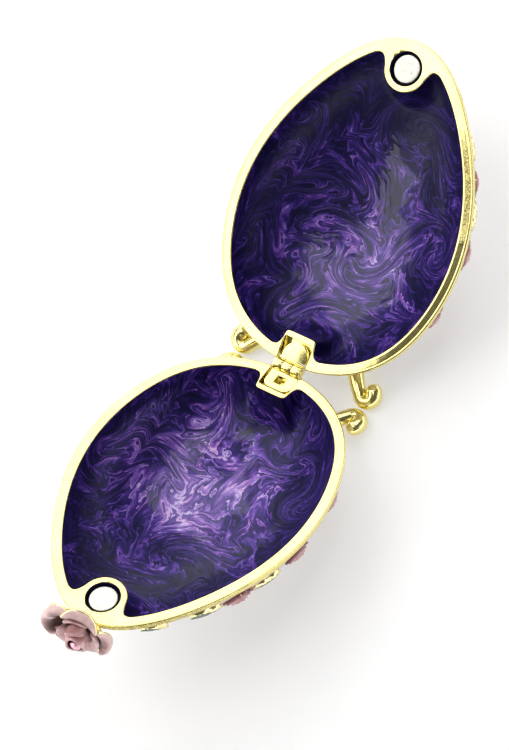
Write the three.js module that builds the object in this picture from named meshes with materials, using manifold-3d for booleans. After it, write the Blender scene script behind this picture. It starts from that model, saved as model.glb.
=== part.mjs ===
// Egg-shaped trinket box, opened flat on its blunt-end hinge.
// Millimetres, +Z up. X is the hinge axis. The lower half lies toward -Y and
// carries the rose; the upper half lies toward +Y.
import * as THREE from "three";
import { mergeVertices } from "three/addons/utils/BufferGeometryUtils.js";
import Module from "manifold-3d";

const wasm = await Module();
wasm.setup();

// ---------- driving dimensions ----------
const OPEN_ANGLE = 140.98; // between the two rim planes when the feet meet
const MOUTH_LENGTH = 54.0; // inner mouth, along the egg
const MOUTH_START = 2.36; // hinge axis to the mouth
const MOUTH_W = 39.8125; // base width of the mouth curve
const EGG_K = [0.2359, 0.0114, 0.0219, 0.0147]; // egg shape coefficients
const RIM_WIDTH = 1.8; // flat face of the rim
const RIM_HEIGHT = 1.1; // height of the rim band
const RIM_INSET = 0.5; // the body sits in behind the rim band
const RIM_GAP = 0.1; // each rim face behind the hinge axis plane
const BODY_DEPTH = 0.6; // depth of a half as a share of its radius
const CAVITY_DEPTH = 0.555;
const MAGNET_S = 53.26; // hinge axis to the magnets
const MAGNET_R = 2.42;
const MAGNET_T = 1.3;
const MAGNET_RECESS = 0.35;
const MAGNET_HOLE_R = 2.82;
const MAGNET_BOSS_R = 3.95;
const NOTCH_S = 5.85; // hinge boss reaches this far in
const NOTCH_HALF = 2.95;
const POCKET_S = 4.8;
const POCKET_HALF = 2.82;
const POCKET_DEPTH = 1.75;
const LEAF_HALF = 2.55;
const LEAF_T = 0.8;
const LEAF_TOP = 0.45; // leaf top below the rim plane
const KNUCKLE_R = 1.05;
const KNUCKLE_HALF = 0.85; // half width of the middle knuckle
const BORE_R = 0.6;
const PIN_R = 0.5;
const FOOT_X = 12.6; // centre of the curl of a foot
const FOOT_S = 0.1;
const FOOT_D = 6.25;
const CURL_R = 1.25;
const FOOT_R = 0.85;
const LEG_ROOT_R = 1.75;
const TABLE_BELOW_HINGE = 7.3; // hinge axis above the table
const ROSE_S = 60.35; // hinge axis to the ring of outer petals
const ROSE_R = 7.2;

// ---------- small helpers ----------
const TILT = ((180 - OPEN_ANGLE) / 2) * (Math.PI / 180);
const PI = Math.PI;
const cos = Math.cos, sin = Math.sin;

function geometry(pos, idx) {
  const g = new THREE.BufferGeometry();
  g.setAttribute("position", new THREE.Float32BufferAttribute(pos.flat(), 3));
  g.setIndex(idx.flat());
  return g;
}
function solid(g) {
  const c = g.clone();
  for (const k of Object.keys(c.attributes)) if (k !== "position") c.deleteAttribute(k);
  const m = mergeVertices(c, 1e-4);
  const s = new wasm.Manifold(
    new wasm.Mesh({
      numProp: 3,
      vertProperties: new Float32Array(m.attributes.position.array),
      triVerts: new Uint32Array(m.index.array),
    }),
  );
  if (s.volume() < 0) throw new Error("inside out");
  return s;
}
// closed tube of rings; each ring is a list of points, ends closed by fans
function loft(rings) {
  const n = rings[0].length, pos = [], idx = [];
  for (const r of rings) for (const p of r) pos.push(p);
  for (let i = 0; i + 1 < rings.length; i++)
    for (let j = 0; j < n; j++) {
      const a = i * n + j, b = i * n + ((j + 1) % n), c = a + n, d = b + n;
      idx.push([a, b, d], [a, d, c]);
    }
  const mean = (r) => [0, 1, 2].map((k) => r.reduce((t, p) => t + p[k], 0) / r.length);
  const f = pos.length;
  pos.push(mean(rings[0]), mean(rings[rings.length - 1]));
  const last = (rings.length - 1) * n;
  for (let j = 0; j < n; j++) {
    idx.push([f, (j + 1) % n, j], [f + 1, last + j, last + ((j + 1) % n)]);
  }
  return geometry(pos, idx);
}
function turned(g) {
  const i = g.index.array;
  for (let k = 0; k < i.length; k += 3) [i[k + 1], i[k + 2]] = [i[k + 2], i[k + 1]];
  return g;
}
function anyway(g) {
  try { return solid(g); } catch { return solid(turned(g)); }
}
// straight prism over an outline in the (x, s) plane
function prism(outline, z0, z1) {
  const pts = outline.map(([x, y]) => new THREE.Vector2(x, y));
  if (THREE.ShapeUtils.area(pts) < 0) pts.reverse();
  const tris = THREE.ShapeUtils.triangulateShape(pts, []);
  const n = pts.length, pos = [], idx = [];
  for (const z of [z0, z1]) for (const p of pts) pos.push([p.x, p.y, z]);
  for (const [a, b, c] of tris) idx.push([c, b, a], [a + n, b + n, c + n]);
  for (let i = 0; i < n; i++) {
    const j = (i + 1) % n;
    idx.push([i, j, j + n], [i, j + n, i + n]);
  }
  return solid(geometry(pos, idx));
}
const box = (x0, x1, y0, y1, z0, z1) => prism([[x0, y0], [x1, y0], [x1, y1], [x0, y1]], z0, z1);
const circle = (x, y, r, n) => Array.from({ length: n }, (_, i) => [x + r * cos((2 * PI * i) / n), y + r * sin((2 * PI * i) / n)]);
// cylinder along x
function rod(x0, x1, r, n, y = 0, z = 0) {
  const ring = (x) => Array.from({ length: n }, (_, i) => [x, y + r * cos((2 * PI * i) / n), z + r * sin((2 * PI * i) / n)]);
  return anyway(loft([ring(x0), ring(x1)]));
}
const move = (s, x, y, z) => s.translate([x, y, z]);

// ---------- egg outline ----------
// half width of the mouth at parameter t (0 = blunt end, PI = narrow end)
const eggY = (t) => (MOUTH_W / 2) * sin(t) * (1 + EGG_K[0] * cos(t) + EGG_K[1] * cos(2 * t) + EGG_K[2] * cos(3 * t) + EGG_K[3] * cos(4 * t));
const eggS = (t) => MOUTH_START + (MOUTH_LENGTH / 2) * (1 - cos(t));
// the outline moved outward by o: [half width, s]
function eggPoint(t, o) {
  if (t <= 0) return [0, MOUTH_START - o];
  if (t >= PI) return [0, MOUTH_START + MOUTH_LENGTH + o];
  const e = 1e-4, dy = eggY(t + e) - eggY(t - e), ds = eggS(t + e) - eggS(t - e), l = Math.hypot(dy, ds);
  return [eggY(t) + (o * ds) / l, eggS(t) - (o * dy) / l];
}
function outline(o, n) {
  const right = [];
  for (let i = 0; i <= n; i++) right.push(eggPoint((PI * i) / n, o));
  const left = right.slice(1, -1).reverse().map(([x, s]) => [-x, s]);
  return right.concat(left);
}
// solid of the egg moved outward by o, its section flattened by k
function eggSolid(o, k, n, seg) {
  const profile = [];
  for (let i = 0; i <= n; i++) {
    const [x, s] = eggPoint((PI * i) / n, o);
    profile.push(new THREE.Vector2(i === 0 || i === n ? 0 : x, s));
  }
  const g = new THREE.LatheGeometry(profile, seg);
  g.scale(1, 1, k);
  return anyway(g);
}
const BODY_OUT = RIM_WIDTH - RIM_INSET;
const Z_RIM = -RIM_GAP;

// mouth outline with the hinge boss and the magnet boss taken out of it
function mouth() {
  const right = [
    [0, NOTCH_S], [NOTCH_HALF - 0.45, NOTCH_S], [NOTCH_HALF - 0.12, NOTCH_S - 0.14], [NOTCH_HALF, NOTCH_S - 0.5],
    [NOTCH_HALF + 0.16, NOTCH_S - 1.4], [NOTCH_HALF + 0.42, NOTCH_S - 2.25], [NOTCH_HALF + 0.85, NOTCH_S - 2.85],
    [NOTCH_HALF + 1.45, NOTCH_S - 3.1],
  ];
  const N = 32;
  for (let i = 1; i < N; i++) {
    const [x, s] = eggPoint((PI * i) / N, 0);
    if (x > NOTCH_HALF + 2.2 && (s < 30 || x > 5.9)) right.push([x, s]);
  }
  right.push([5.35, MAGNET_S + 1.2], [4.8, MAGNET_S + 0.95], [4.3, MAGNET_S + 0.4]);
  for (const a of [-2, -14, -28, -43, -58, -74]) {
    const r = (a * PI) / 180;
    right.push([MAGNET_BOSS_R * cos(r), MAGNET_S + MAGNET_BOSS_R * sin(r)]);
  }
  right.push([0, MAGNET_S - MAGNET_BOSS_R]);
  const left = right.slice(1, -1).reverse().map(([x, s]) => [-x, s]);
  return right.concat(left);
}

// ---------- raised ornament on the back of a half ----------
// a point h above the body at offset (u across, v along) from (s0, phi0)
function onBody(s0, phi0) {
  const at = (t, phi) => {
    const [x, s] = eggPoint(t, BODY_OUT);
    return [x * cos(phi), s, -BODY_DEPTH * x * sin(phi)];
  };
  const tOf = (s) => Math.acos(Math.max(-1, Math.min(1, 1 - (2 * (s - MOUTH_START)) / MOUTH_LENGTH)));
  const t0 = tOf(s0);
  const step = (f, e) => Math.hypot(...[0, 1, 2].map((k) => f(e)[k] - f(-e)[k])) / (2 * e);
  const perT = step((e) => at(t0 + e, phi0), 1e-3);
  const perP = step((e) => at(t0, phi0 + e), 1e-3);
  return (u, v, h) => {
    const t = t0 + v / perT, phi = phi0 - u / perP, e = 1e-3;
    const p = at(t, phi), a = at(t + e, phi), b = at(t, phi - e);
    const A = new THREE.Vector3(...a.map((c, k) => c - p[k])), B = new THREE.Vector3(...b.map((c, k) => c - p[k]));
    const n = B.cross(A).normalize();
    const m = new THREE.Vector3(p[0], 0, p[2]);
    if (n.dot(m) < 0) n.negate();
    return [p[0] + n.x * h, p[1] + n.y * h, p[2] + n.z * h];
  };
}
// stacked outlines in (u, v) at rising heights, mapped on the body
function mound(map, layers) {
  return anyway(loft(layers.map(({ pts, h, f }) => pts.map(([u, v]) => map(u * f, v * f, h)))));
}
function leaf(s0, phi0, length, width, angle, height) {
  const map = onBody(s0, phi0), N = 8, pts = [];
  for (let i = 0; i < N; i++) {
    const a = (2 * PI * i) / N, l = cos(a);
    const w = sin(a) * (0.62 + 0.38 * Math.abs(sin(a)));
    pts.push([(l * length) / 2, (w * width) / 2]);
  }
  const turn = ([u, v]) => [u * cos(angle) - v * sin(angle), u * sin(angle) + v * cos(angle)];
  const p = pts.map(turn);
  return mound(map, [
    { pts: p, f: 1, h: -0.7 }, { pts: p, f: 1, h: height * 0.45 }, { pts: p, f: 0.45, h: height },
  ]);
}
function backRose(s0, phi0, r, height) {
  const map = onBody(s0, phi0);
  const lobes = (R, turnBy, n, depth) => Array.from({ length: n * 2 }, (_, i) => {
    const a = (2 * PI * i) / (n * 2), q = R * (1 - depth * Math.pow(Math.abs(sin((n * (a)) / 2)), 1.5));
    return [q * cos(a + turnBy), q * sin(a + turnBy)];
  });
  const ring = (R, turnBy, h0, h1) => {
    const p = lobes(R, turnBy, 5, 0.16);
    return mound(map, [{ pts: p, f: 1, h: h0 }, { pts: p, f: 1, h: h1 * 0.8 }, { pts: p, f: 0.86, h: h1 }]);
  };
  const s = ring(r, 0.2, -0.7, height * 0.6);
  return r > 4 ? s.add(ring(r * 0.7, 0.83, -0.3, height * 0.85)).add(ring(r * 0.42, 0.2, -0.1, height)) : s.add(ring(r * 0.55, 0.83, -0.3, height));
}
// [s, angle round the body in degrees, kind, size...]; 0 = +X side, 90 = middle of the back
const ORNAMENT = [
  ["rose", 31, 90, 4.6, 1.5], ["leaf", 38.8, 78, 6.4, 3.2, 1.1, 0.9], ["leaf", 24.2, 104, 6.4, 3.2, -2.2, 0.9],
  ["rose", 11.4, 90, 2.9, 1.2],
  ["rose", 40.0, 26, 2.7, 1.2], ["leaf", 45.4, 24, 5.6, 2.6, 1.35, 0.85], ["leaf", 35.0, 22, 5.2, 2.5, -1.5, 0.85],
  ["rose", 28.5, 20, 2.6, 1.1], ["leaf", 52.0, 34, 5.0, 2.6, 1.1, 0.8],
  ["rose", 40.0, 154, 2.7, 1.2], ["leaf", 45.4, 156, 5.6, 2.6, 1.8, 0.85],
  ["rose", 19.0, 154, 2.6, 1.1], ["leaf", 25.0, 156, 5.0, 2.5, 1.5, 0.8],
  ["rose", 17.0, 22, 2.6, 1.1],
];
const rad = (d) => (d * PI) / 180;
function ornaments() {
  let all = null;
  for (const [kind, s, phi, ...a] of ORNAMENT) {
    const one = kind === "rose" ? backRose(s, rad(phi), a[0], a[1]) : leaf(s, rad(phi), a[0], a[1], a[2], a[3]);
    all = all ? all.add(one) : one;
  }
  return all;
}

// ---------- foot: a tapering leg that ends in an outward curl ----------
function foot(side) {
  const path = [[6.2, 7.6, LEG_ROOT_R + 0.35], [6.9, 6.1, LEG_ROOT_R], [7.9, 4.5, 1.3], [9.0, 3.0, 1.02], [10.2, 1.6, 0.86]];
  for (let a = 172; a <= 172 + 258; a += 25.8) path.push([FOOT_X + CURL_R * cos(rad(a)), FOOT_S + CURL_R * sin(rad(a)), FOOT_R]);
  const N = 10, rings = [];
  const dir = (i) => {
    const a = path[Math.max(0, i - 1)], b = path[Math.min(path.length - 1, i + 1)], l = Math.hypot(b[0] - a[0], b[1] - a[1]);
    return [(b[0] - a[0]) / l, (b[1] - a[1]) / l];
  };
  const depthAt = (i) => FOOT_D + 0.25 * Math.max(0, 4 - i);
  const ring = (p, d, r, i) => Array.from({ length: N }, (_, j) => {
    const a = (2 * PI * j) / N;
    return [side * (p[0] - d[1] * r * cos(a)), p[1] + d[0] * r * cos(a), -(depthAt(i) + r * sin(a))];
  });
  path.forEach((p, i) => rings.push(ring(p, dir(i), p[2], i)));
  const end = path[path.length - 1], d = dir(path.length - 1);
  for (const a of [35, 65]) rings.push(ring([end[0] + d[0] * FOOT_R * sin(rad(a)), end[1] + d[1] * FOOT_R * sin(rad(a))], d, FOOT_R * cos(rad(a)), 99));
  return anyway(loft(rings));
}

// ---------- one half, in its own frame: rim plane up, s along +y ----------
function half() {
  const half = box(-40, 40, -20, 80, -40, Z_RIM);
  const body = eggSolid(BODY_OUT, BODY_DEPTH, 26, 32);
  const band = prism(outline(RIM_WIDTH, 32), -RIM_HEIGHT - RIM_GAP, Z_RIM);
  const cavity = eggSolid(0, CAVITY_DEPTH, 20, 24).intersect(prism(mouth(), -30, 5));
  let s = body.add(ornaments()).intersect(half).add(band).add(foot(1)).add(foot(-1));
  s = s.subtract(cavity);
  s = s.subtract(prism(circle(0, MAGNET_S, MAGNET_HOLE_R, 24), Z_RIM - MAGNET_RECESS - MAGNET_T, 2));
  s = s.subtract(box(-POCKET_HALF, POCKET_HALF, -6, POCKET_S, Z_RIM - POCKET_DEPTH, 2));
  return s;
}
// lower half leaf: frame with a window and two outer knuckles
function lowerLeaf() {
  const z1 = Z_RIM - LEAF_TOP, z0 = z1 - LEAF_T, e = 4.5, c = 1.2;
  const plate = prism([[-LEAF_HALF, 0.2], [LEAF_HALF, 0.2], [LEAF_HALF, e - c], [LEAF_HALF - 0.16, e - 0.6], [LEAF_HALF - 0.5, e - 0.24], [LEAF_HALF - c, e],
    [-LEAF_HALF + c, e], [-LEAF_HALF + 0.5, e - 0.24], [-LEAF_HALF + 0.16, e - 0.6], [-LEAF_HALF, e - c]], z0, z1);
  const window = box(-1.12, 1.12, -2, 3.55, -5, 3);
  return plate.add(rod(-LEAF_HALF, LEAF_HALF, KNUCKLE_R, 16)).subtract(window).subtract(rod(-5, 5, BORE_R, 16));
}
// upper half leaf: rounded tab with the middle knuckle
function upperLeaf() {
  const z1 = Z_RIM - LEAF_TOP, z0 = z1 - LEAF_T;
  const pts = [[-2.3, 1.45], [2.3, 1.45]];
  for (let a = 0; a <= 180; a += 15) pts.push([2.3 * cos(rad(a)), 2.1 + 2.3 * sin(rad(a))]);
  const tab = prism(pts, z0, z1);
  const arm = box(-KNUCKLE_HALF, KNUCKLE_HALF, 0.2, 2.2, z0, z1);
  return tab.add(arm).add(rod(-KNUCKLE_HALF, KNUCKLE_HALF, KNUCKLE_R, 16)).subtract(rod(-5, 5, BORE_R, 16));
}
const magnet = () => prism(circle(0, MAGNET_S, MAGNET_R, 24), Z_RIM - MAGNET_RECESS - MAGNET_T + 0.05, Z_RIM - MAGNET_RECESS);

// ---------- rose at the narrow end ----------
// a cupped petal: a thin curved sheet standing off a centre, in the rose frame (w up)
function petal(turnBy, r0, r1, width, lift, cup, roll) {
  const NU = 6, NV = 3, T = 0.55, pos = [], idx = [];
  const at = (i, j, k) => {
    const u = (i / NU) * 2 - 1, v = j / NV;
    const shape = Math.sqrt(Math.max(0.02, 1 - u * u * (0.25 + 0.75 * v * v)));
    const r = r0 + (r1 - r0) * v * (0.82 + 0.18 * shape);
    const a = (u * width * (0.55 + 0.45 * sin(PI * (0.15 + 0.6 * v)))) / Math.max(2.2, r);
    const w = lift * v + cup * u * u * v - roll * Math.pow(v, 4) + (k ? T : 0);
    return [r * cos(a + turnBy), r * sin(a + turnBy), w];
  };
  const id = (i, j, k) => (k * (NU + 1) + i) * (NV + 1) + j;
  for (const k of [0, 1]) for (let i = 0; i <= NU; i++) for (let j = 0; j <= NV; j++) pos.push(at(i, j, k));
  for (let i = 0; i < NU; i++) for (let j = 0; j < NV; j++) {
    idx.push([id(i, j, 1), id(i, j + 1, 1), id(i + 1, j + 1, 1)], [id(i, j, 1), id(i + 1, j + 1, 1), id(i + 1, j, 1)]);
    idx.push([id(i, j, 0), id(i + 1, j + 1, 0), id(i, j + 1, 0)], [id(i, j, 0), id(i + 1, j, 0), id(i + 1, j + 1, 0)]);
  }
  const wall = (a, b, c, d) => idx.push([a, b, c], [a, c, d]);
  for (let i = 0; i < NU; i++) {
    wall(id(i + 1, 0, 0), id(i, 0, 0), id(i, 0, 1), id(i + 1, 0, 1));
    wall(id(i, NV, 0), id(i + 1, NV, 0), id(i + 1, NV, 1), id(i, NV, 1));
  }
  for (let j = 0; j < NV; j++) {
    wall(id(0, j, 0), id(0, j + 1, 0), id(0, j + 1, 1), id(0, j, 1));
    wall(id(NU, j + 1, 0), id(NU, j, 0), id(NU, j, 1), id(NU, j + 1, 1));
  }
  return anyway(geometry(pos, idx));
}
function turnedBody(profile, seg) {
  const g = new THREE.LatheGeometry(profile.map(([r, w]) => new THREE.Vector2(r, w)), seg);
  g.rotateX(PI / 2);
  return anyway(g);
}
function rose() {
  let s = turnedBody([[0, -1.5], [1.3, -1.5], [1.5, -0.6], [3.4, 0.15], [3.4, 0.75], [2.2, 1.6], [1.9, 3.0], [1.75, 3.9], [1.3, 4.25], [1.05, 3.75], [0, 3.75]], 20);
  for (let i = 0; i < 5; i++) s = s.add(petal((2 * PI * i) / 5 + 0.35, 1.2, ROSE_R, 4.1, 0.7, 0.5, 0.35));
  for (let i = 0; i < 4; i++) s = s.add(petal((2 * PI * i) / 4 + 0.9, 1.0, 4.7, 3.2, 2.6, 0.7, 0.3));
  return s;
}
// crystal with a flat table and a pointed back, in the rose frame
const gem = (r) => turnedBody([[0, -0.55], [r, 0], [r * 0.6, 0.42], [0, 0.42]], 8);
// rose frame to half frame: w along the egg, leaning a little outward and down
const ROSE_LEAN_X = -0.2, ROSE_LEAN_D = 0.1;
function roseFrame() {
  const w = new THREE.Vector3(ROSE_LEAN_X, 1, -ROSE_LEAN_D).normalize();
  const a = new THREE.Vector3(1, 0, 0).addScaledVector(w, -w.x).normalize();
  const b = new THREE.Vector3().crossVectors(w, a);
  return new THREE.Matrix4().makeBasis(a, b, w).setPosition(0, ROSE_S, -0.2);
}

// ---------- place each half about the hinge axis ----------
function place(s, which) {
  // the lower half is turned round to -Y, then both are tipped up by the tilt;
  // its ornament is mirrored, so that the two sprays meet when the box is shut
  if (which === "lower") s = s.rotate([0, 0, 180]);
  const t = (TILT * 180) / PI;
  return s.rotate([which === "lower" ? -t : t, 0, 0]);
}
const table = () => box(-80, 80, -90, 90, -60, -TABLE_BELOW_HINGE);

function crystalOnBack() {
  const map = onBody(31, rad(90)), c = map(0, 0, 1.62), up = new THREE.Vector3(...map(0, 0, 3)).sub(new THREE.Vector3(...map(0, 0, 1))).normalize();
  const q = new THREE.Quaternion().setFromUnitVectors(new THREE.Vector3(0, 0, 1), up);
  const m = new THREE.Matrix4().makeRotationFromQuaternion(q).setPosition(...c);
  return { matrix: m, s: gem(0.95).transform(m.toArray()), seat: turnedBody([[0, -0.75], [1.1, -0.75], [1.1, 1], [0, 1]], 12).transform(m.toArray()) };
}

const crystal = crystalOnBack();
const shell = half().subtract(crystal.seat);
const M = roseFrame().toArray();
const roseSolid = rose().transform(M);
const gemSolid = move(gem(0.98), 0, 0, 4.42).transform(M);
// the rose is seated against the narrow end of the lower half, clear of the upper half
const seatOfRose = box(-20, 20, 30, MOUTH_START + MOUTH_LENGTH + RIM_WIDTH + 0.3, Z_RIM - 0.05, 20)
  .add(eggSolid(RIM_WIDTH + 0.1, 0.86, 30, 40));
const lowerRose = roseSolid.subtract(seatOfRose);

const parts = {
  lower_shell: place(shell.mirror([1, 0, 0]), "lower").subtract(table()),
  upper_shell: place(shell, "upper").subtract(table()),
  lower_magnet: place(magnet(), "lower"),
  upper_magnet: place(magnet(), "upper"),
  lower_hinge_leaf: place(lowerLeaf(), "lower"),
  upper_hinge_leaf: place(upperLeaf(), "upper"),
  hinge_pin: rod(-LEAF_HALF - 0.12, LEAF_HALF + 0.12, PIN_R, 16),
  rose_finial: place(lowerRose, "lower"),
  rose_crystal: place(gemSolid, "lower"),
  lower_back_crystal: place(crystal.s, "lower"),
  upper_back_crystal: place(crystal.s, "upper"),
};

const LOOK = {
  shell: { color: 0xd9c88a, metalness: 1, roughness: 0.3 },
  magnet: { color: 0xd8d8d4, metalness: 1, roughness: 0.25 },
  rose: { color: 0xc39a98, metalness: 0.1, roughness: 0.45 },
  crystal: { color: 0xe58fa0, metalness: 0, roughness: 0.05 },
};
const lookOf = (name) => LOOK[name.includes("magnet") ? "magnet" : name.includes("crystal") ? "crystal" : name === "rose_finial" ? "rose" : "shell"];

const group = new THREE.Group();
group.name = "jewelled_egg_trinket_box";
const boxAll = new THREE.Box3();
for (const [name, s] of Object.entries(parts)) {
  const m = s.getMesh();
  const g = new THREE.BufferGeometry();
  const p = [];
  for (let i = 0; i < m.numVert; i++) for (let k = 0; k < 3; k++) p.push(m.vertProperties[i * m.numProp + k]);
  g.setAttribute("position", new THREE.Float32BufferAttribute(p, 3));
  g.setIndex(Array.from(m.triVerts));
  g.computeVertexNormals();
  g.computeBoundingBox();
  boxAll.union(g.boundingBox);
  const mesh = new THREE.Mesh(g, new THREE.MeshStandardMaterial(lookOf(name)));
  mesh.name = name;
  group.add(mesh);
}
// origin at the middle of the underside
const c = boxAll.getCenter(new THREE.Vector3());
for (const mesh of group.children) mesh.geometry.translate(-c.x, -c.y, -boxAll.min.z);

export default group;
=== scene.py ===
# Egg-shaped trinket box, open on its hinge: marbled violet enamel inside, gilt
# rims, hinge and curled feet, a modelled rose at the narrow end, and pearl
# enamel with raised flowers outside.  Lengths below are millimetres unless a
# name says otherwise; meshes are written in metres in the row frame.
import bpy, bmesh
import numpy as np
from math import pi, sin, cos, radians, hypot, atan2
from mathutils import Vector, Matrix


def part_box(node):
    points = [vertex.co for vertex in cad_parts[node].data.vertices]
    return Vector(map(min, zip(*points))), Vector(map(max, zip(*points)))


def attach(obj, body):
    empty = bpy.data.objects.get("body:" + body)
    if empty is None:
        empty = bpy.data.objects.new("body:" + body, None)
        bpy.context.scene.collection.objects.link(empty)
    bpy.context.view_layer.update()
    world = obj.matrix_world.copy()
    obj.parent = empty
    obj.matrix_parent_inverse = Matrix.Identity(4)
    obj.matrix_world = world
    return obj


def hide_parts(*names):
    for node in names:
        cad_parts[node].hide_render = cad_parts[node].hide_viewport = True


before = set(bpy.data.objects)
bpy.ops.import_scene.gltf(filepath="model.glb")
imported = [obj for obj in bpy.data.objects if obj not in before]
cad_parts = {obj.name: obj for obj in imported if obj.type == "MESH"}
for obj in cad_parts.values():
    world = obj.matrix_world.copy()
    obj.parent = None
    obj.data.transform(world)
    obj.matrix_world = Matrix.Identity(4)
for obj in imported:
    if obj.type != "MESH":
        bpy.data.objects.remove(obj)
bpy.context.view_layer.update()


# ---------------------------------------------------------------- dimensions
K_EGG = (0.2359, 0.0114, 0.0219, 0.0147)
MOUTH_W, MOUTH_L, START = 39.8125, 54.0, 2.36
TILT = radians(19.51)
RIM_W, RIM_H, BODY_OUT = 1.8, 1.1, 1.3
CAV_K, BODY_K = 0.555, 0.6
Z_RIM = -0.1
MAG_S, MAG_R, HOLE_R, BOSS_R = 53.26, 2.42, 2.82, 3.95
lo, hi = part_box("hinge_pin")
HINGE = np.array([(lo[i] + hi[i]) * 500.0 for i in range(3)])
C0 = np.array([0.0, 28.0])  # middle of a half, in its own plan

CT, ST = cos(TILT), sin(TILT)


def row(P, half):
    """Half coordinates (x, s, z) in mm to row coordinates in metres."""
    P = np.asarray(P, float)
    x, s, z = P[..., 0], P[..., 1], P[..., 2]
    if half == "upper":
        out = np.stack([x, s * CT - z * ST, s * ST + z * CT], -1)
    else:
        out = np.stack([-x, -s * CT + z * ST, s * ST + z * CT], -1)
    return (out + HINGE) * 0.001


# ---------------------------------------------------------------- egg outline
def egg_y(t):
    a, b, c, d = K_EGG
    return MOUTH_W / 2 * np.sin(t) * (1 + a * np.cos(t) + b * np.cos(2 * t) + c * np.cos(3 * t) + d * np.cos(4 * t))


def egg_s(t):
    return START + MOUTH_L / 2 * (1 - np.cos(t))


def egg_off(t, o):
    """Point of the right side of the outline, moved outward by o."""
    t = np.asarray(t, float)
    e = 1e-4
    dy, ds = egg_y(t + e) - egg_y(t - e), egg_s(t + e) - egg_s(t - e)
    l = np.hypot(dy, ds)
    return np.stack([egg_y(t) + o * ds / l, egg_s(t) - o * dy / l], -1)


T_DENSE = np.linspace(1e-3, pi - 1e-3, 3000)


def half_width_table(o):
    p = egg_off(T_DENSE, o)
    s = np.concatenate([[START - o], p[:, 1], [START + MOUTH_L + o]])
    y = np.concatenate([[0], p[:, 0], [0]])
    k = np.argsort(s)
    return s[k], y[k]


TAB = {o: half_width_table(o) for o in (0.0, BODY_OUT)}


def width_at(s, o=0.0):
    a, b = TAB[o]
    return np.interp(s, a, b, left=0, right=0)


# ---------------------------------------------------------------- mouth curve
def chaikin(P, n):
    for _ in range(n):
        Q = np.roll(P, -1, 0)
        P = np.stack([0.75 * P + 0.25 * Q, 0.25 * P + 0.75 * Q], 1).reshape(-1, 2)
    return P


def mouth_curve():
    right = [(0, 5.85), (2.35, 5.85), (2.78, 5.70), (2.95, 5.30), (3.08, 4.45), (3.32, 3.62), (3.78, 3.02), (4.45, 2.78)]
    for t in np.linspace(0.01, pi - 0.01, 220):
        x, s = egg_y(t), egg_s(t)
        if x > 5.15 and (s < 30 or x > 6.0):
            right.append((x, s))
    right += [(5.55, 54.35), (5.05, 54.35), (4.55, 53.95), (4.2, 53.3)]
    for a in (-8, -18, -30, -43, -58, -74, -90):
        r = radians(a)
        right.append((BOSS_R * cos(r), MAG_S + BOSS_R * sin(r)))
    right = np.array(right)
    left = right[1:-1][::-1] * [-1, 1]
    return np.concatenate([right, left])


def resample(P, fine, coarse):
    """Points along the closed curve P, closer together at the two bosses."""
    Q = np.concatenate([P, P[:1]])
    d = np.hypot(*(np.diff(Q, axis=0).T))
    mid = (Q[1:] + Q[:-1]) / 2
    near = (np.abs(mid[:, 0]) < 6.2) & ((mid[:, 1] < 7) | (mid[:, 1] > 48))
    w = d / np.where(near, fine, coarse)
    c = np.concatenate([[0], np.cumsum(w)])
    n = int(round(c[-1] / 4) * 4)
    u = np.linspace(0, c[-1], n, endpoint=False)
    return np.stack([np.interp(u, c, Q[:, 0]), np.interp(u, c, Q[:, 1])], -1)


MOUTH = resample(chaikin(mouth_curve(), 3), 0.13, 0.40)
N = len(MOUTH)
D_IN = np.roll(MOUTH, -1, 0) - np.roll(MOUTH, 1, 0)
D_IN /= np.hypot(*D_IN.T)[:, None]
N_IN = np.stack([D_IN[:, 1], -D_IN[:, 0]], -1)
if np.sum(N_IN * (MOUTH - C0)) < 0:
    N_IN = -N_IN
N_IN[np.sum(N_IN * (MOUTH - C0), 1) < -0.2 * np.hypot(*(MOUTH - C0).T)] *= 1


def outer_parameter():
    """For each mouth point the outline parameter in the same direction from the middle."""
    ang = np.arctan2(MOUTH[:, 0], -(MOUTH[:, 1] - C0[1]))  # 0 = towards the hinge
    p = egg_off(T_DENSE, 1.5)
    a = np.arctan2(p[:, 0], -(p[:, 1] - C0[1]))
    return np.interp(np.abs(ang), a, T_DENSE, left=0, right=pi), np.sign(ang)


T_OUT, SIDE = outer_parameter()


def outline(o):
    p = egg_off(np.clip(T_OUT, 1e-3, pi - 1e-3), o)
    end0, end1 = T_OUT <= 1e-3, T_OUT >= pi - 1e-3
    p[end0] = [0, START - o]
    p[end1] = [0, START + MOUTH_L + o]
    p[:, 0] *= np.where(SIDE == 0, 1, SIDE)
    return p


# ---------------------------------------------------------------- mesh helper
SCENE = bpy.context.scene
COLL = SCENE.collection


def mesh_from(name, verts, faces, mats, mat_index=None, attrs=None, sharp=None, smooth=True):
    me = bpy.data.meshes.new(name)
    me.from_pydata([tuple(v) for v in np.asarray(verts, float).tolist()], [], [tuple(f) for f in faces])
    for m in mats:
        me.materials.append(m)
    if mat_index is not None:
        me.polygons.foreach_set("material_index", np.asarray(mat_index, dtype=np.int32))
    for key, val in (attrs or {}).items():
        val = np.asarray(val, float)
        if val.ndim == 1:
            me.attributes.new(key, "FLOAT", "POINT").data.foreach_set("value", val)
        else:
            me.attributes.new(key, "FLOAT_VECTOR", "POINT").data.foreach_set("vector", val.reshape(-1))
    if smooth:
        me.shade_smooth()
        if sharp:
            me.set_sharp_from_angle(angle=radians(sharp))
    me.update()
    ob = bpy.data.objects.new(name, me)
    COLL.objects.link(ob)
    return ob


def grid_faces(rows, n, base=0, closed=True):
    """Quads between successive rings of n points."""
    i = np.arange(rows - 1)[:, None]
    j = np.arange(n if closed else n - 1)[None, :]
    a = base + i * n + j
    b = base + i * n + (j + 1) % n
    return np.stack([a, b, b + n, a + n], -1).reshape(-1, 4)


def fix_outward(ob):
    bm = bmesh.new()
    bm.from_mesh(ob.data)
    bmesh.ops.recalc_face_normals(bm, faces=bm.faces)
    bm.to_mesh(ob.data)
    bm.free()


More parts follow.
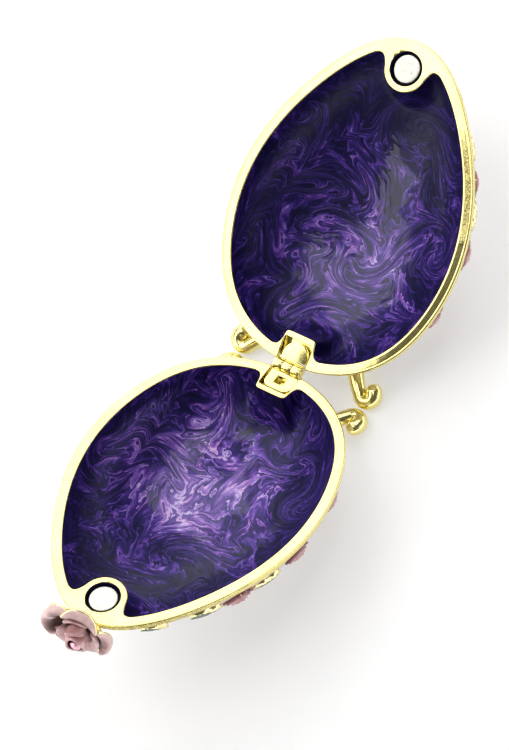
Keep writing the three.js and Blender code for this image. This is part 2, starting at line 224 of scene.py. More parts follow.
def apply_modifiers(ob):
    dg = bpy.context.evaluated_depsgraph_get()
    me = bpy.data.meshes.new_from_object(ob.evaluated_get(dg), preserve_all_data_layers=True, depsgraph=dg)
    old = ob.data
    ob.modifiers.clear()
    ob.data = me
    bpy.data.meshes.remove(old)


def boolean(ob, cutter, op="DIFFERENCE"):
    m = ob.modifiers.new("cut", "BOOLEAN")
    m.object, m.operation, m.solver = cutter, op, "MANIFOLD"
    n0 = len(ob.data.polygons)
    apply_modifiers(ob)
    if len(ob.data.polygons) == n0 or len(ob.data.polygons) == 0:
        print("boolean left", ob.name, len(ob.data.polygons))
    bpy.data.objects.remove(cutter)


def join(name, obs):
    """One object of several; the materials are shared by name."""
    mats, verts, faces, idx, base = [], [], [], [], 0
    keys = {}
    for o in obs:
        me = o.data
        loc = [mats.index(m) if m in mats else (mats.append(m) or len(mats) - 1) for m in me.materials]
        v = np.empty(len(me.vertices) * 3)
        me.vertices.foreach_get("co", v)
        verts.append(v.reshape(-1, 3))
        for p in me.polygons:
            faces.append(tuple(base + k for k in p.vertices))
            idx.append(loc[p.material_index])
        for a in me.attributes:
            if a.domain == "POINT" and a.data_type in ("FLOAT", "FLOAT_VECTOR") and a.name != "position":
                keys.setdefault(a.name, a.data_type)
        base += len(me.vertices)
    attrs = {}
    for k, typ in keys.items():
        cols = []
        for o in obs:
            n = len(o.data.vertices)
            a = o.data.attributes.get(k)
            w = 1 if typ == "FLOAT" else 3
            buf = np.zeros(n * w)
            if a is not None:
                a.data.foreach_get("value" if w == 1 else "vector", buf)
            cols.append(buf if w == 1 else buf.reshape(-1, 3))
        attrs[k] = np.concatenate(cols)
    ob = mesh_from(name, np.concatenate(verts), faces, mats, idx, attrs)
    for o in obs:
        bpy.data.objects.remove(o)
    return ob


# ---------------------------------------------------------------- node helper
class Mat:
    def __init__(self, name):
        self.m = bpy.data.materials.new(name)
        self.m.use_nodes = True
        self.t = self.m.node_tree
        self.t.nodes.clear()
        self.out = self.t.nodes.new("ShaderNodeOutputMaterial")
        self.bsdf = self.t.nodes.new("ShaderNodeBsdfPrincipled")
        self.t.links.new(self.bsdf.outputs[0], self.out.inputs[0])

    def node(self, kind, **kw):
        n = self.t.nodes.new(kind)
        for k, v in kw.items():
            setattr(n, k, v)
        return n

    def put(self, sock, val):
        if val is None:
            return
        if isinstance(val, bpy.types.NodeSocket):
            self.t.links.new(val, sock)
        else:
            sock.default_value = val

    def set(self, **kw):
        for k, v in kw.items():
            self.put(self.bsdf.inputs[k.replace("_", " ")], v)

    def attr(self, name, out="Vector"):
        n = self.node("ShaderNodeAttribute", attribute_name=name)
        return n.outputs[out]

    def coord(self):
        return self.node("ShaderNodeTexCoord").outputs["Object"]

    def math(self, op, a, b=None, c=None, clamp=False):
        n = self.node("ShaderNodeMath", operation=op, use_clamp=clamp)
        for i, v in enumerate((a, b, c)):
            self.put(n.inputs[i], v)
        return n.outputs[0]

    def vmath(self, op, a, b=None, scale=None, out=0):
        n = self.node("ShaderNodeVectorMath", operation=op)
        self.put(n.inputs[0], a)
        if b is not None:
            self.put(n.inputs[1], b)
        if scale is not None:
            self.put(n.inputs["Scale"], scale)
        return n.outputs[out]

    def noise(self, vec, scale, detail=3.0, rough=0.5, dist=0.0, out="Fac", kind="FBM", lac=2.0):
        n = self.node("ShaderNodeTexNoise", noise_dimensions="3D")
        n.noise_type = kind
        self.put(n.inputs["Vector"], vec)
        n.inputs["Scale"].default_value = scale
        n.inputs["Detail"].default_value = detail
        n.inputs["Roughness"].default_value = rough
        n.inputs["Lacunarity"].default_value = lac
        n.inputs["Distortion"].default_value = dist
        return n.outputs[out]

    def voronoi(self, vec, scale, feature="F1", out="Distance", rnd=1.0):
        n = self.node("ShaderNodeTexVoronoi", feature=feature)
        self.put(n.inputs["Vector"], vec)
        n.inputs["Scale"].default_value = scale
        n.inputs["Randomness"].default_value = rnd
        return n.outputs[out]

    def ramp(self, fac, stops, mode="LINEAR"):
        n = self.node("ShaderNodeValToRGB")
        n.color_ramp.interpolation = mode
        el = n.color_ramp.elements
        while len(el) < len(stops):
            el.new(0.5)
        for e, (p, c) in zip(el, stops):
            e.position = p
            e.color = (*c, 1.0) if len(c) == 3 else c
        self.put(n.inputs[0], fac)
        return n.outputs["Color"]

    def mixc(self, fac, a, b, mode="MIX"):
        n = self.node("ShaderNodeMix", data_type="RGBA", blend_type=mode)
        self.put(n.inputs[0], fac)
        self.put(n.inputs[6], a if isinstance(a, bpy.types.NodeSocket) else (*a, 1.0))
        self.put(n.inputs[7], b if isinstance(b, bpy.types.NodeSocket) else (*b, 1.0))
        return n.outputs[2]

    def mixf(self, fac, a, b):
        n = self.node("ShaderNodeMix", data_type="FLOAT")
        self.put(n.inputs[0], fac)
        self.put(n.inputs[2], a)
        self.put(n.inputs[3], b)
        return n.outputs[0]

    def smooth(self, v, a, b, lo=0.0, hi=1.0):
        n = self.node("ShaderNodeMapRange", interpolation_type="SMOOTHSTEP")
        self.put(n.inputs[0], v)
        n.inputs[1].default_value, n.inputs[2].default_value = a, b
        n.inputs[3].default_value, n.inputs[4].default_value = lo, hi
        return n.outputs[0]

    def bump(self, height, strength, dist_mm, normal=None):
        n = self.node("ShaderNodeBump")
        n.inputs["Strength"].default_value = strength
        n.inputs["Distance"].default_value = dist_mm * 0.001
        self.put(n.inputs["Height"], height)
        if normal is not None:
            self.put(n.inputs["Normal"], normal)
        return n.outputs[0]


def srgb(r, g, b):
    f = lambda c: (c / 255 / 12.92) if c / 255 <= 0.04045 else ((c / 255 + 0.055) / 1.055) ** 2.4
    return (f(r), f(g), f(b))


# ---------------------------------------------------------------- materials
def gold_material(name="gilt_plate", rough=0.13, cast=0.0):
    m = Mat(name)
    co = m.vmath("SCALE", m.coord(), scale=1000.0)
    big = m.noise(co, 0.16, 2, 0.5)
    fine = m.noise(co, 1.1, 4, 0.55)
    col = m.ramp(big, [(0.3, (0.84, 0.72, 0.265)), (0.55, (0.88, 0.78, 0.31)), (0.75, (0.85, 0.75, 0.33))])
    dull = m.smooth(m.noise(co, 0.7, 5, 0.65), 0.56, 0.72)
    col = m.mixc(m.math("MULTIPLY", dull, 0.30), col, (0.66, 0.50, 0.14))
    wav = m.noise(co, 0.55, 2, 0.5)
    pits = m.noise(co, 5.0, 3, 0.6)
    h = m.math("ADD", m.math("MULTIPLY", wav, 1.0), m.math("MULTIPLY", pits, 0.10))
    nrm = m.bump(h, 0.35, 0.10)
    rgh = m.math("ADD", rough, m.math("MULTIPLY", fine, 0.10))
    if cast:
        # unpolished patches keep the grain of the mould and hold tarnish
        raw = m.attr("raw", "Fac")
        grain = m.noise(co, 3.2, 5, 0.7)
        pit = m.smooth(m.voronoi(co, 3.4), 0.10, 0.45)
        gh = m.math("ADD", grain, m.math("MULTIPLY", pit, 0.6))
        nrm = m.bump(m.math("MULTIPLY", gh, raw), 1.0, cast, nrm)
        tarn = m.math("MULTIPLY", m.smooth(grain, 0.58, 0.40), raw)
        col = m.mixc(m.math("MULTIPLY", tarn, 0.75), col, (0.30, 0.20, 0.05))
        rgh = m.math("ADD", rgh, m.math("MULTIPLY", raw, 0.10))
    m.set(Base_Color=col, Metallic=1.0, Roughness=rgh, Normal=nrm)
    return m.m


def enamel_material(name, tone=0.0):
    """Marbled violet pearl enamel under a clear glossy coat, on the warped chart 'flow'."""
    m = Mat(name)
    flow = m.attr("flow")
    # small curls added on top of the long swirls carried by the mesh
    w1 = m.noise(flow, 0.55, 2, 0.5, out="Color")
    w1 = m.vmath("SCALE", m.vmath("SUBTRACT", w1, (0.5, 0.5, 0.5)), scale=1.1)
    p = m.vmath("ADD", flow, w1)
    low = m.noise(p, 0.22, 2, 0.5, dist=0.5)
    mid = m.noise(p, 0.58, 3, 0.55, dist=1.0)
    sweep = m.math("ADD", m.math("MULTIPLY", low, 6.0), m.math("MULTIPLY", mid, 1.3))
    fold = m.math("FRACT", sweep)
    # each fold rises softly to a pale lip and drops to a crisp dark edge
    silk = m.math("MULTIPLY", m.math("POWER", fold, 1.7), m.smooth(fold, 0.90, 1.0, 1.0, 0.0))
    # fine combed strands that follow the folds
    comb = m.math("PINGPONG", m.math("ADD", m.math("MULTIPLY", sweep, 3.0), m.math("MULTIPLY", m.noise(p, 1.8, 3, 0.6), 1.3)), 0.5)
    hair = m.noise(p, 2.2, 4, 0.6, dist=1.0)
    cloud = m.smooth(m.noise(p, 0.17, 3, 0.55, dist=0.4), 0.36, 0.64)
    v = m.math("ADD", m.math("MULTIPLY", silk, 0.44), m.math("MULTIPLY", cloud, 0.34))
    v = m.math("ADD", v, m.math("MULTIPLY", comb, m.math("MULTIPLY", m.math("ADD", silk, 0.25), 0.42)))
    v = m.math("ADD", v, m.math("MULTIPLY", m.math("SUBTRACT", mid, 0.5), 0.45))
    v = m.math("ADD", v, m.math("MULTIPLY", m.math("SUBTRACT", hair, 0.5), 0.17))
    # painted reflection: a pale veil of the overhead light in the middle of each bowl, with the colour darkening
    # towards the narrow end
    painted_veil = m.attr("painted_veil", "Fac")
    v = m.math("ADD", v, m.math("MULTIPLY", m.math("SUBTRACT", painted_veil, 0.55), 0.55))
    col = m.ramp(v, [
        (0.06, srgb(15, 12, 54)), (0.26, srgb(30, 21, 82)), (0.42, srgb(50, 34, 110)),
        (0.54, srgb(76, 49, 140)), (0.68, srgb(110, 76, 170)), (0.84, srgb(156, 122, 202)), (0.98, srgb(206, 184, 230))])
    warm = m.smooth(m.noise(p, 0.42, 2, 0.5), 0.45, 0.65)
    col = m.mixc(m.math("MULTIPLY", warm, 0.4), col, m.mixc(1.0, col, (1.35, 0.84, 0.96), "MULTIPLY"))
    m.set(Base_Color=col, Metallic=0.12, Roughness=0.40, Specular_IOR_Level=0.18)
    m.set(Coat_Weight=m.attr("gloss", "Fac"), Coat_Roughness=0.025, Coat_IOR=1.37)
    und = m.noise(flow, 0.50, 2, 0.5, dist=0.5)
    m.set(Coat_Normal=m.bump(m.math("ADD", m.math("MULTIPLY", und, 1.0), m.math("MULTIPLY", low, 0.6)), 0.55, 0.22))
    m.set(Normal=m.bump(m.math("ADD", low, m.math("MULTIPLY", mid, 0.5)), 0.5, 0.35))
    return m.m


def pearl_material():
    m = Mat("pearl_enamel")
    co = m.vmath("SCALE", m.coord(), scale=1000.0)
    w = m.vmath("SCALE", m.vmath("SUBTRACT", m.noise(co, 0.12, 2, 0.5, out="Color"), (0.5, 0.5, 0.5)), scale=9.0)
    p = m.vmath("ADD", co, w)
    low = m.noise(p, 0.10, 3, 0.5, dist=0.5)
    mid = m.noise(p, 0.45, 4, 0.6, dist=1.0)
    v = m.math("ADD", m.math("MULTIPLY", low, 0.7), m.math("MULTIPLY", mid, 0.35))
    col = m.ramp(v, [(0.32, srgb(150, 136, 140)), (0.46, srgb(186, 174, 170)), (0.60, srgb(214, 205, 194)), (0.72, srgb(232, 226, 214))])
    m.set(Base_Color=col, Metallic=0.25, Roughness=0.33)
    m.set(Coat_Weight=0.9, Coat_Roughness=0.05, Coat_IOR=1.5)
    m.set(Normal=m.bump(mid, 0.3, 0.08))
    return m.m


def petal_material(name, painted_shade, body, light, gold_from=0.62, painted_highlight=None):
    """Enamelled petal or leaf: 'edge' 1 at the gilt edge, 'deep' 1 in the hollows, where a darker colour is painted in
    as shade.
    """
    m = Mat(name)
    co = m.vmath("SCALE", m.coord(), scale=1000.0)
    n1 = m.noise(co, 0.6, 3, 0.55)
    n2 = m.noise(co, 2.6, 3, 0.6)
    col = m.mixc(m.smooth(n1, 0.35, 0.68), body, light)
    deep = m.attr("deep", "Fac")
    # painted highlight: a pale band along the petal edge
    if painted_highlight:
        col = m.mixc(m.math("MULTIPLY", m.smooth(m.attr("edge", "Fac"), 0.15, 0.50), 0.50), col, painted_highlight)
    # painted shade: the hollows are darkened towards the shade colour
    col = m.mixc(m.math("MULTIPLY", m.smooth(deep, 0.10, 0.80), 0.95), col, painted_shade)
    edge = m.math("ADD", m.attr("edge", "Fac"), m.math("MULTIPLY", m.math("SUBTRACT", n2, 0.5), 0.22))
    gilt = m.smooth(edge, gold_from, gold_from + 0.12)
    col = m.mixc(gilt, col, (0.95, 0.80, 0.40))
    m.set(Base_Color=col, Metallic=m.math("MAXIMUM", gilt, 0.06))
    m.set(Roughness=m.mixf(gilt, 0.34, 0.18))
    m.set(Coat_Weight=m.math("MULTIPLY", m.math("SUBTRACT", 1.0, deep), 0.45), Coat_Roughness=0.10)
    m.set(Specular_IOR_Level=m.math("MULTIPLY", m.math("SUBTRACT", 1.1, deep), 0.45))
    m.set(Normal=m.bump(m.math("ADD", n1, m.math("MULTIPLY", n2, 0.3)), 0.35, 0.10))
    return m.m


def magnet_material():
    m = Mat("nickel_plate")
    co = m.vmath("SCALE", m.coord(), scale=1000.0)
    n = m.noise(co, 1.3, 5, 0.65)
    col = m.ramp(n, [(0.30, (0.34, 0.32, 0.26)), (0.42, (0.50, 0.49, 0.44)), (0.7, (0.56, 0.55, 0.51))])
    stain = m.smooth(m.noise(co, 0.55, 4, 0.7), 0.58, 0.70)
    col = m.mixc(m.math("MULTIPLY", stain, 0.6), col, (0.16, 0.14, 0.08))
    m.set(Base_Color=col, Metallic=1.0, Roughness=m.math("ADD", 0.18, m.math("MULTIPLY", n, 0.25)))
    m.set(Normal=m.bump(m.noise(co, 3.0, 3, 0.6), 0.25, 0.06))
    return m.m


def crystal_material():
    m = Mat("pink_crystal_glass")
    co = m.vmath("SCALE", m.coord(), scale=1000.0)
    n = m.noise(co, 1.6, 2, 0.5)
    col = m.ramp(n, [(0.35, (0.90, 0.30, 0.42)), (0.65, (1.0, 0.62, 0.70))])
    m.set(Base_Color=col, Metallic=0.35, Roughness=0.06, IOR=1.6)
    m.set(Coat_Weight=1.0, Coat_Roughness=0.02, Coat_IOR=1.65)
    return m.m


def floor_material():
    m = Mat("pale_floor")
    co = m.coord()
    n = m.noise(co, 260.0, 4, 0.6)
    col = m.ramp(n, [(0.3, (0.58, 0.58, 0.59)), (0.7, (0.61, 0.61, 0.61))])
    m.set(Base_Color=col, Roughness=0.8, Specular_IOR_Level=0.15)
    m.set(Emission_Color=(1.0, 1.0, 1.0, 1.0), Emission_Strength=0.42)
    return m.m


GOLD = gold_material()
RIM_GOLD = gold_material("gilt_rim", 0.12, 0.32)
ENAMEL = {"upper": enamel_material("violet_enamel_upper"), "lower": enamel_material("violet_enamel_lower")}
PEARL = pearl_material()
# the first colour of each is the painted shade of the hollows; the rose's last colour is a painted highlight along its
# petal edges
ROSE = petal_material("rose_enamel", srgb(66, 28, 20), srgb(184, 134, 134), srgb(226, 188, 188), 0.66, srgb(244, 216, 210))
PINK = petal_material("pink_petal_enamel", srgb(120, 58, 66), srgb(214, 150, 160), srgb(238, 200, 204), 0.80)
LEAF = petal_material("green_leaf_enamel", srgb(20, 34, 18), srgb(48, 74, 40), srgb(92, 118, 70), 0.80)
NICKEL = magnet_material()
CRYSTAL = crystal_material()


# ---------------------------------------------------------------- marbling
def marble(q, seed):
    """Chart coordinates dragged through eddies and comb strokes, as stirred paint is."""
    rng = np.random.RandomState(seed)
    q = q.copy()
    for k in range(74):
        big = k < 20
        c = np.array([rng.uniform(-24, 24), rng.uniform(-2, 66)])
        R = rng.uniform(3.2, 6.5) if big else rng.uniform(1.1, 3.0)
        A = rng.choice([-1, 1]) * (rng.uniform(1.0, 2.2) if big else rng.uniform(1.2, 2.8))
        d = q - c
        rr = np.hypot(d[:, 0], d[:, 1]) / R
        a = A * np.exp(-rr ** 2)
        ca, sa = np.cos(a), np.sin(a)
        q = c + np.stack([d[:, 0] * ca - d[:, 1] * sa, d[:, 0] * sa + d[:, 1] * ca], -1)
        if k % 9 == 4:
            th = rng.uniform(0, 2 * pi)
            u = np.array([cos(th), sin(th)])
            n = np.array([-u[1], u[0]])
            o = rng.uniform(-22, 22)
            dist = np.abs((q - np.array([0, 30])) @ n - o)
            q = q + u * (rng.uniform(2.0, 4.5) * np.exp(-dist / rng.uniform(0.9, 2.4)))[:, None]
    return q


ARC_S = np.linspace(START, START + MOUTH_L, 600)
_w = width_at(ARC_S)
_dw = np.gradient(_w, ARC_S)
ARC_L = np.concatenate([[0], np.cumsum(np.sqrt(1 + (CAV_K * np.clip(_dw[1:], -3, 3)) ** 2) * np.diff(ARC_S))])


def chart(P):
    x, s = P[:, 0], P[:, 1]
    R = np.maximum(width_at(s), 0.5)
    return np.stack([R * np.arcsin(np.clip(x / R, -1, 1)) * 0.82, np.interp(s, ARC_S, ARC_L)], -1)


# ---------------------------------------------------------------- shells
def shell(half):
    name = half + "_shell_casting"
    rows, tags = [], []  # each row: (N, 3) points; tag = material of the strip that follows

    boss = MOUTH[((np.abs(MOUTH[:, 0]) < 4.6) & (MOUTH[:, 1] < 6.3)) | ((MOUTH[:, 1] > 48.5) & (np.abs(MOUTH[:, 0]) < 4.7))]

    def cavity(P):
        D = CAV_K * np.sqrt(np.maximum(width_at(P[:, 1]) ** 2 - P[:, 0] ** 2, 0))
        d = np.empty(len(P))
        for i in range(0, len(P), 4000):
            q = P[i:i + 4000]
            d[i:i + 4000] = np.sqrt(((q[:, None, :] - boss[None]) ** 2).sum(-1)).min(1)
        f = np.sqrt(1 - (1 - np.clip(d / 3.4, 0, 1)) ** 3)
        return -0.06 - np.sqrt((D * f) ** 2 + 0.26 ** 2)

    NW = 88
    for i in range(1, NW + 1):
        g = sin(pi / 2 * (i / NW) ** 0.95)
        P = C0 + (MOUTH - C0) * g
        rows.append(np.column_stack([P, cavity(P)]))
        tags.append(0)
    tags[-1] = 1
    n_cav = len(rows)

    def inner(o, z):
        rows.append(np.column_stack([MOUTH + N_IN * o, np.full(N, Z_RIM + z)]))
        tags.append(1)

    for o, z in ((0.0, -0.115), (0.012, -0.07), (0.05, -0.026), (0.11, -0.004), (0.17, 0.0)):
        inner(o, z)
    face_a = MOUTH + N_IN * 0.30
    face_b = outline(1.46)
    # the ornament side of the lid was lapped slightly outward; the rest lies flat
    lean = np.zeros(N)
    if half == "upper":
        s_m = MOUTH[:, 1]
        lean = np.clip((s_m - 5) / 6, 0, 1) * np.clip((44 - s_m) / 7, 0, 1) * (MOUTH[:, 0] > 3)
        lean = lean * lean * (3 - 2 * lean)
    for f, z, fall in ((0.0, 0.0, 0.0), (0.09, 0.0, 0.0), (0.14, -0.004, -0.008), (0.30, 0.0, -0.035), (0.50, 0.0, -0.075), (0.70, 0.0, -0.115),
                       (0.80, 0.0, -0.135), (0.87, -0.020, -0.14), (0.94, -0.002, -0.14), (1.0, 0.0, -0.14)):
        P = face_a * (1 - f) + face_b * f
        rows.append(np.column_stack([P, Z_RIM + z + fall * lean]))
        tags.append(1)
    for o, z in ((1.56, -0.004), (1.64, -0.016), (1.71, -0.05), (1.765, -0.11), (1.79, -0.18), (1.80, -0.28), (1.80, -0.6), (1.80, -0.86),
                 (1.785, -0.96), (1.745, -1.04), (1.68, -1.09), (1.60, -1.10), (1.46, -1.10)):
        rows.append(np.column_stack([outline(o), Z_RIM + z - 0.14 * lean * max(0.0, 1 + z / 0.6)]))
        tags.append(1)
    B = outline(BODY_OUT)

    def body_z(P):
        return -BODY_K * np.sqrt(np.maximum(width_at(P[:, 1], BODY_OUT) ** 2 - P[:, 0] ** 2, 0))

    z0 = Z_RIM - 1.10
    a, b = np.full(N, 0.5), np.full(N, 1.0)
    for _ in range(40):
        g = (a + b) / 2
        deep = body_z(C0 + (B - C0) * g[:, None]) < z0
        a, b = np.where(deep, g, a), np.where(deep, b, g)
    g0 = (a + b) / 2
    NB = 44
    for i in range(NB, 0, -1):
        f = sin(pi / 2 * i / NB)
        P = C0 + (B - C0) * (g0 * f)[:, None]
        z = body_z(P)
        if i == NB:
            z = np.full(N, z0)
            tags[-1] = 1
        rows.append(np.column_stack([P, z]))
        tags.append(2)
    V = np.concatenate(rows)
    n_rows = len(rows)
    top, bottom = len(V), len(V) + 1
    zc = cavity(C0[None])[0]
    zb = body_z(C0[None])[0]
    V = np.concatenate([V, [[*C0, zc], [*C0, zb]]])
    F = grid_faces(n_rows, N).tolist()
    idx = np.repeat(np.array(tags[:-1]), N).tolist()
    for j in range(N):
        F.append((top, (j + 1) % N, j))
        idx.append(0)
        F.append((bottom, (n_rows - 1) * N + j, (n_rows - 1) * N + (j + 1) % N))
        idx.append(2)
    q = chart(V[:, :2])
    fl = marble(q, 7 if half == "upper" else 23)
    flow = np.column_stack([fl, np.full(len(V), 0.0 if half == "upper" else 40.0)])
    # painted reflection: a pale veil where the overhead light is mirrored, painted into the middle of each bowl; the
    # colour also darkens towards the narrow end
    cs = 19.5 if half == "upper" else 21.5
    painted_veil = (0.58 if half == "upper" else 0.92) * np.exp(-((V[:, 0] - (0.5 if half == "upper" else 4.5)) / 11.5) ** 2 - ((V[:, 1] - cs) / 12.5) ** 2) + 0.27
    if half == "upper":
        painted_veil -= 0.34 * np.clip((V[:, 1] - 36) / 14, 0, 1)
    else:
        painted_veil -= 0.12 * np.clip((V[:, 1] - 40) / 12, 0, 1)
    # the clear resin is thick and glossy where it pooled in the bottom, thin up the walls
    depth = np.clip((-0.06 - V[:, 2]) / (CAV_K * MOUTH_W / 2), 0, 1)
    g = np.clip((depth - 0.50) / 0.28, 0, 1)
    pool = 0.0
    for cx, cp, rx, rp, tilt in (((0.0, 18.5, 9.5, 8.5, 0.3), (0.8, 33.5, 3.4, 9.0, 0.38)) if half == "upper" else ((5.3, 21.0, 8.5, 10.5, 0.25),)):
        dx = V[:, 0] - cx + 1.3 * np.sin(V[:, 1] * 0.62 + 1.0) + 0.7 * np.sin(V[:, 1] * 1.5)
        ds = V[:, 1] - cp + 1.4 * np.sin(V[:, 0] * 0.55 + 0.4)
        e = np.hypot((dx * cos(tilt) + ds * sin(tilt)) / rx, (ds * cos(tilt) - dx * sin(tilt)) / rp)
        k = np.clip((1.10 - e) / 0.14, 0, 1)
        pool = np.maximum(pool, k * k * (3 - 2 * k))
    gloss = 0.10 + 0.12 * g * g * (3 - 2 * g) + 0.70 * pool
    # where the casting skin was left unpolished on the rim
    x, s, z = V.T
    step = lambda v, a, b: np.clip((v - a) / (b - a), 0, 1)
    if half == "upper":
        raw = (x > 8) * (x > width_at(s) + 0.42) * step(s, 30, 35) * (1 - step(s, 43, 48)) * (x < width_at(s) + 1.45)
    else:
        raw = (x < 0) * step(s, 38, 52) * (z < Z_RIM - 0.15) * 0.9
    raw = np.maximum(raw, 0.8 * (z < Z_RIM - 1.02))
    ob = mesh_from(name, row(V, half), F, [ENAMEL[half], RIM_GOLD, PEARL], idx, {"flow": flow, "painted_veil": painted_veil, "raw": raw, "gloss": gloss})
    fix_outward(ob)
    return ob


def wall_plug(half):
    """Solid that fills the bowl to within the wall; it trims the roots of the feet."""
    rows = []
    M2 = MOUTH[::4]
    for g in np.sin(np.linspace(0.06, 1, 22) * pi / 2):
        P = C0 + (M2 - C0) * g
        D = CAV_K * np.sqrt(np.maximum(width_at(P[:, 1]) ** 2 - P[:, 0] ** 2, 0))
        rows.append(np.column_stack([C0 + (P - C0) * 1.012, -0.45 - D]))
    rows.append(np.column_stack([C0 + (M2 - C0) * 1.012, np.full(len(M2), 0.6)]))
    n = len(M2)
    V = np.concatenate(rows + [[[*C0, 0.6]], [[*C0, rows[0][:, 2].min() - 0.02]]])
    F = grid_faces(len(rows), n).tolist()
    for j in range(n):
        F.append((len(V) - 2, (len(rows) - 1) * n + j, (len(rows) - 1) * n + (j + 1) % n))
        F.append((len(V) - 1, (j + 1) % n, j))
    ob = mesh_from("plug", row(V, half), F, [GOLD])
    fix_outward(ob)
    return ob


def lathe(profile, seg):
    """Closed body of revolution about z, profile (r, z) from axis to axis."""
    V, F = [(0, 0, profile[0][1])], []
    ring = profile[1:-1]
    for r, z in ring:
        for k in range(seg):
            a = 2 * pi * k / seg
            V.append((r * cos(a), r * sin(a), z))
    V.append((0, 0, profile[-1][1]))
    n = len(ring)
    for k in range(seg):
        k2 = (k + 1) % seg
        F.append((0, 1 + k2, 1 + k))
        for i in range(n - 1):
            a, b = 1 + i * seg + k, 1 + i * seg + k2
            F.append((a, b, b + seg, a + seg))
        F.append((len(V) - 1, 1 + (n - 1) * seg + k, 1 + (n - 1) * seg + k2))
    return np.array(V, float), F


def magnet_cutter(half):
    prof = [(0, Z_RIM - 1.65), (HOLE_R, Z_RIM - 1.65), (HOLE_R, Z_RIM - 0.16), (HOLE_R + 0.02, Z_RIM - 0.09), (HOLE_R + 0.07, Z_RIM - 0.03),
            (HOLE_R + 0.15, Z_RIM + 0.005), (HOLE_R + 0.4, Z_RIM + 0.05), (HOLE_R + 0.4, 1.0), (0, 1.0)]
    V, F = lathe(prof, 96)
    V[:, 1] += MAG_S
    ob = mesh_from("cutter", row(V, half), F, [GOLD])
    fix_outward(ob)
    return ob


def rounded_rect(x0, x1, y0, y1, r, n=6):
    pts = []
    for cx, cy, a0 in ((x1 - r, y0 + r, -90), (x1 - r, y1 - r, 0), (x0 + r, y1 - r, 90), (x0 + r, y0 + r, 180)):
        for k in range(n + 1):
            a = radians(a0 + 90 * k / n)
            pts.append((cx + r * cos(a), cy + r * sin(a)))
    return np.array(pts)


def prism_mesh(levels):
    """Closed body of outlines (n, 2) at heights: list of (outline, z), lowest first."""
    n = len(levels[0][0])
    V = np.concatenate([np.column_stack([p, np.full(n, z)]) for p, z in levels])
    F = grid_faces(len(levels), n).tolist()
    F.append(tuple(range(n - 1, -1, -1)))
    F.append(tuple((len(levels) - 1) * n + k for k in range(n)))
    return V, F


def pocket_cutter(half):
    lv = []
    for grow, z in ((0.0, -1.75), (0.0, -0.14), (0.02, -0.08), (0.07, -0.03), (0.14, 0.004), (0.4, 0.06), (0.4, 1.2)):
        lv.append((rounded_rect(-2.82 - grow, 2.82 + grow, -7, 4.8 + grow, 0.45 + grow), Z_RIM + z))
    V, F = prism_mesh(lv)
    ob = mesh_from("cutter", row(V, half), F, [GOLD])
    fix_outward(ob)
    return ob


# ---------------------------------------------------------------- feet
def foot(half, side):
    path = [(5.7, 9.0, 2.5, 7.0), (6.25, 7.7, 2.2, 6.95), (6.9, 6.4, 1.9, 6.85), (7.6, 5.1, 1.66, 6.7), (8.4, 3.8, 1.48, 6.55), (9.3, 2.45, 1.36, 6.4), (10.25, 1.15, 1.29, 6.3)]
    ctl = np.array(path)
    arc = []
    for k in range(10):
        a = radians(207 + 21.5 * k)
        arc.append((12.35 + 1.30 * cos(a), 0.58 + 1.30 * sin(a), 1.25 + 0.14 * min(1, max(0, k - 3) / 4), 6.25))
    ctl = np.concatenate([ctl, np.array(arc)])
    # smooth the control polygon
    u = np.linspace(0, len(ctl) - 1, 90)
    i = np.clip(u.astype(int), 0, len(ctl) - 2)
    f = (u - i)[:, None]
    p0, p1, p2, p3 = ctl[np.clip(i - 1, 0, None)], ctl[i], ctl[i + 1], ctl[np.clip(i + 2, None, len(ctl) - 1)]
    P = 0.5 * (2 * p1 + (p2 - p0) * f + (2 * p0 - 5 * p1 + 4 * p2 - p3) * f ** 2 + (3 * p1 - p0 - 3 * p2 + p3) * f ** 3)
    cen = np.column_stack([P[:, 0], P[:, 1], -P[:, 3]])
    rad = P[:, 2]
    T = np.gradient(cen, axis=0)
    T /= np.linalg.norm(T, axis=1)[:, None]
    # rounded free end
    end, te, re = cen[-1], T[-1], rad[-1]
    for a in (18, 36, 54, 70, 82):
        cen = np.vstack([cen, end + te * re * sin(radians(a))])
        rad = np.append(rad, re * cos(radians(a)))
        T = np.vstack([T, te])
    up = np.array([0, 0, 1.0])
    rings, M = [], 28
    for c, t, r in zip(cen, T, rad):
        b = np.cross(up, t)
        b /= np.linalg.norm(b)
        n = np.cross(t, b)
        ang = np.linspace(0, 2 * pi, M, endpoint=False)
        rings.append(c + r * (np.cos(ang)[:, None] * b + np.sin(ang)[:, None] * n))
    V = np.concatenate(rings)
    V[:, 0] *= side
    F = grid_faces(len(rings), M).tolist()
    nV = len(V)
    ends = np.array([cen[0], cen[-1] + te * re * 0.02])
    ends[:, 0] *= side
    V = np.concatenate([V, ends])
    for k in range(M):
        F.append((nV, (k + 1) % M, k))
        F.append((nV + 1, nV - M + k, nV - M + (k + 1) % M))
    W = row(V, half)
    W[:, 2] = np.maximum(W[:, 2], 2e-5)  # the curl rests on the table
    ob = mesh_from("%s_foot_%s" % (half, "b" if side > 0 else "a"), W, F, [GOLD])
    fix_outward(ob)
    boolean(ob, wall_plug(half))
    ob.data.shade_smooth()
    ob.data.set_sharp_from_angle(angle=radians(50))
    return ob


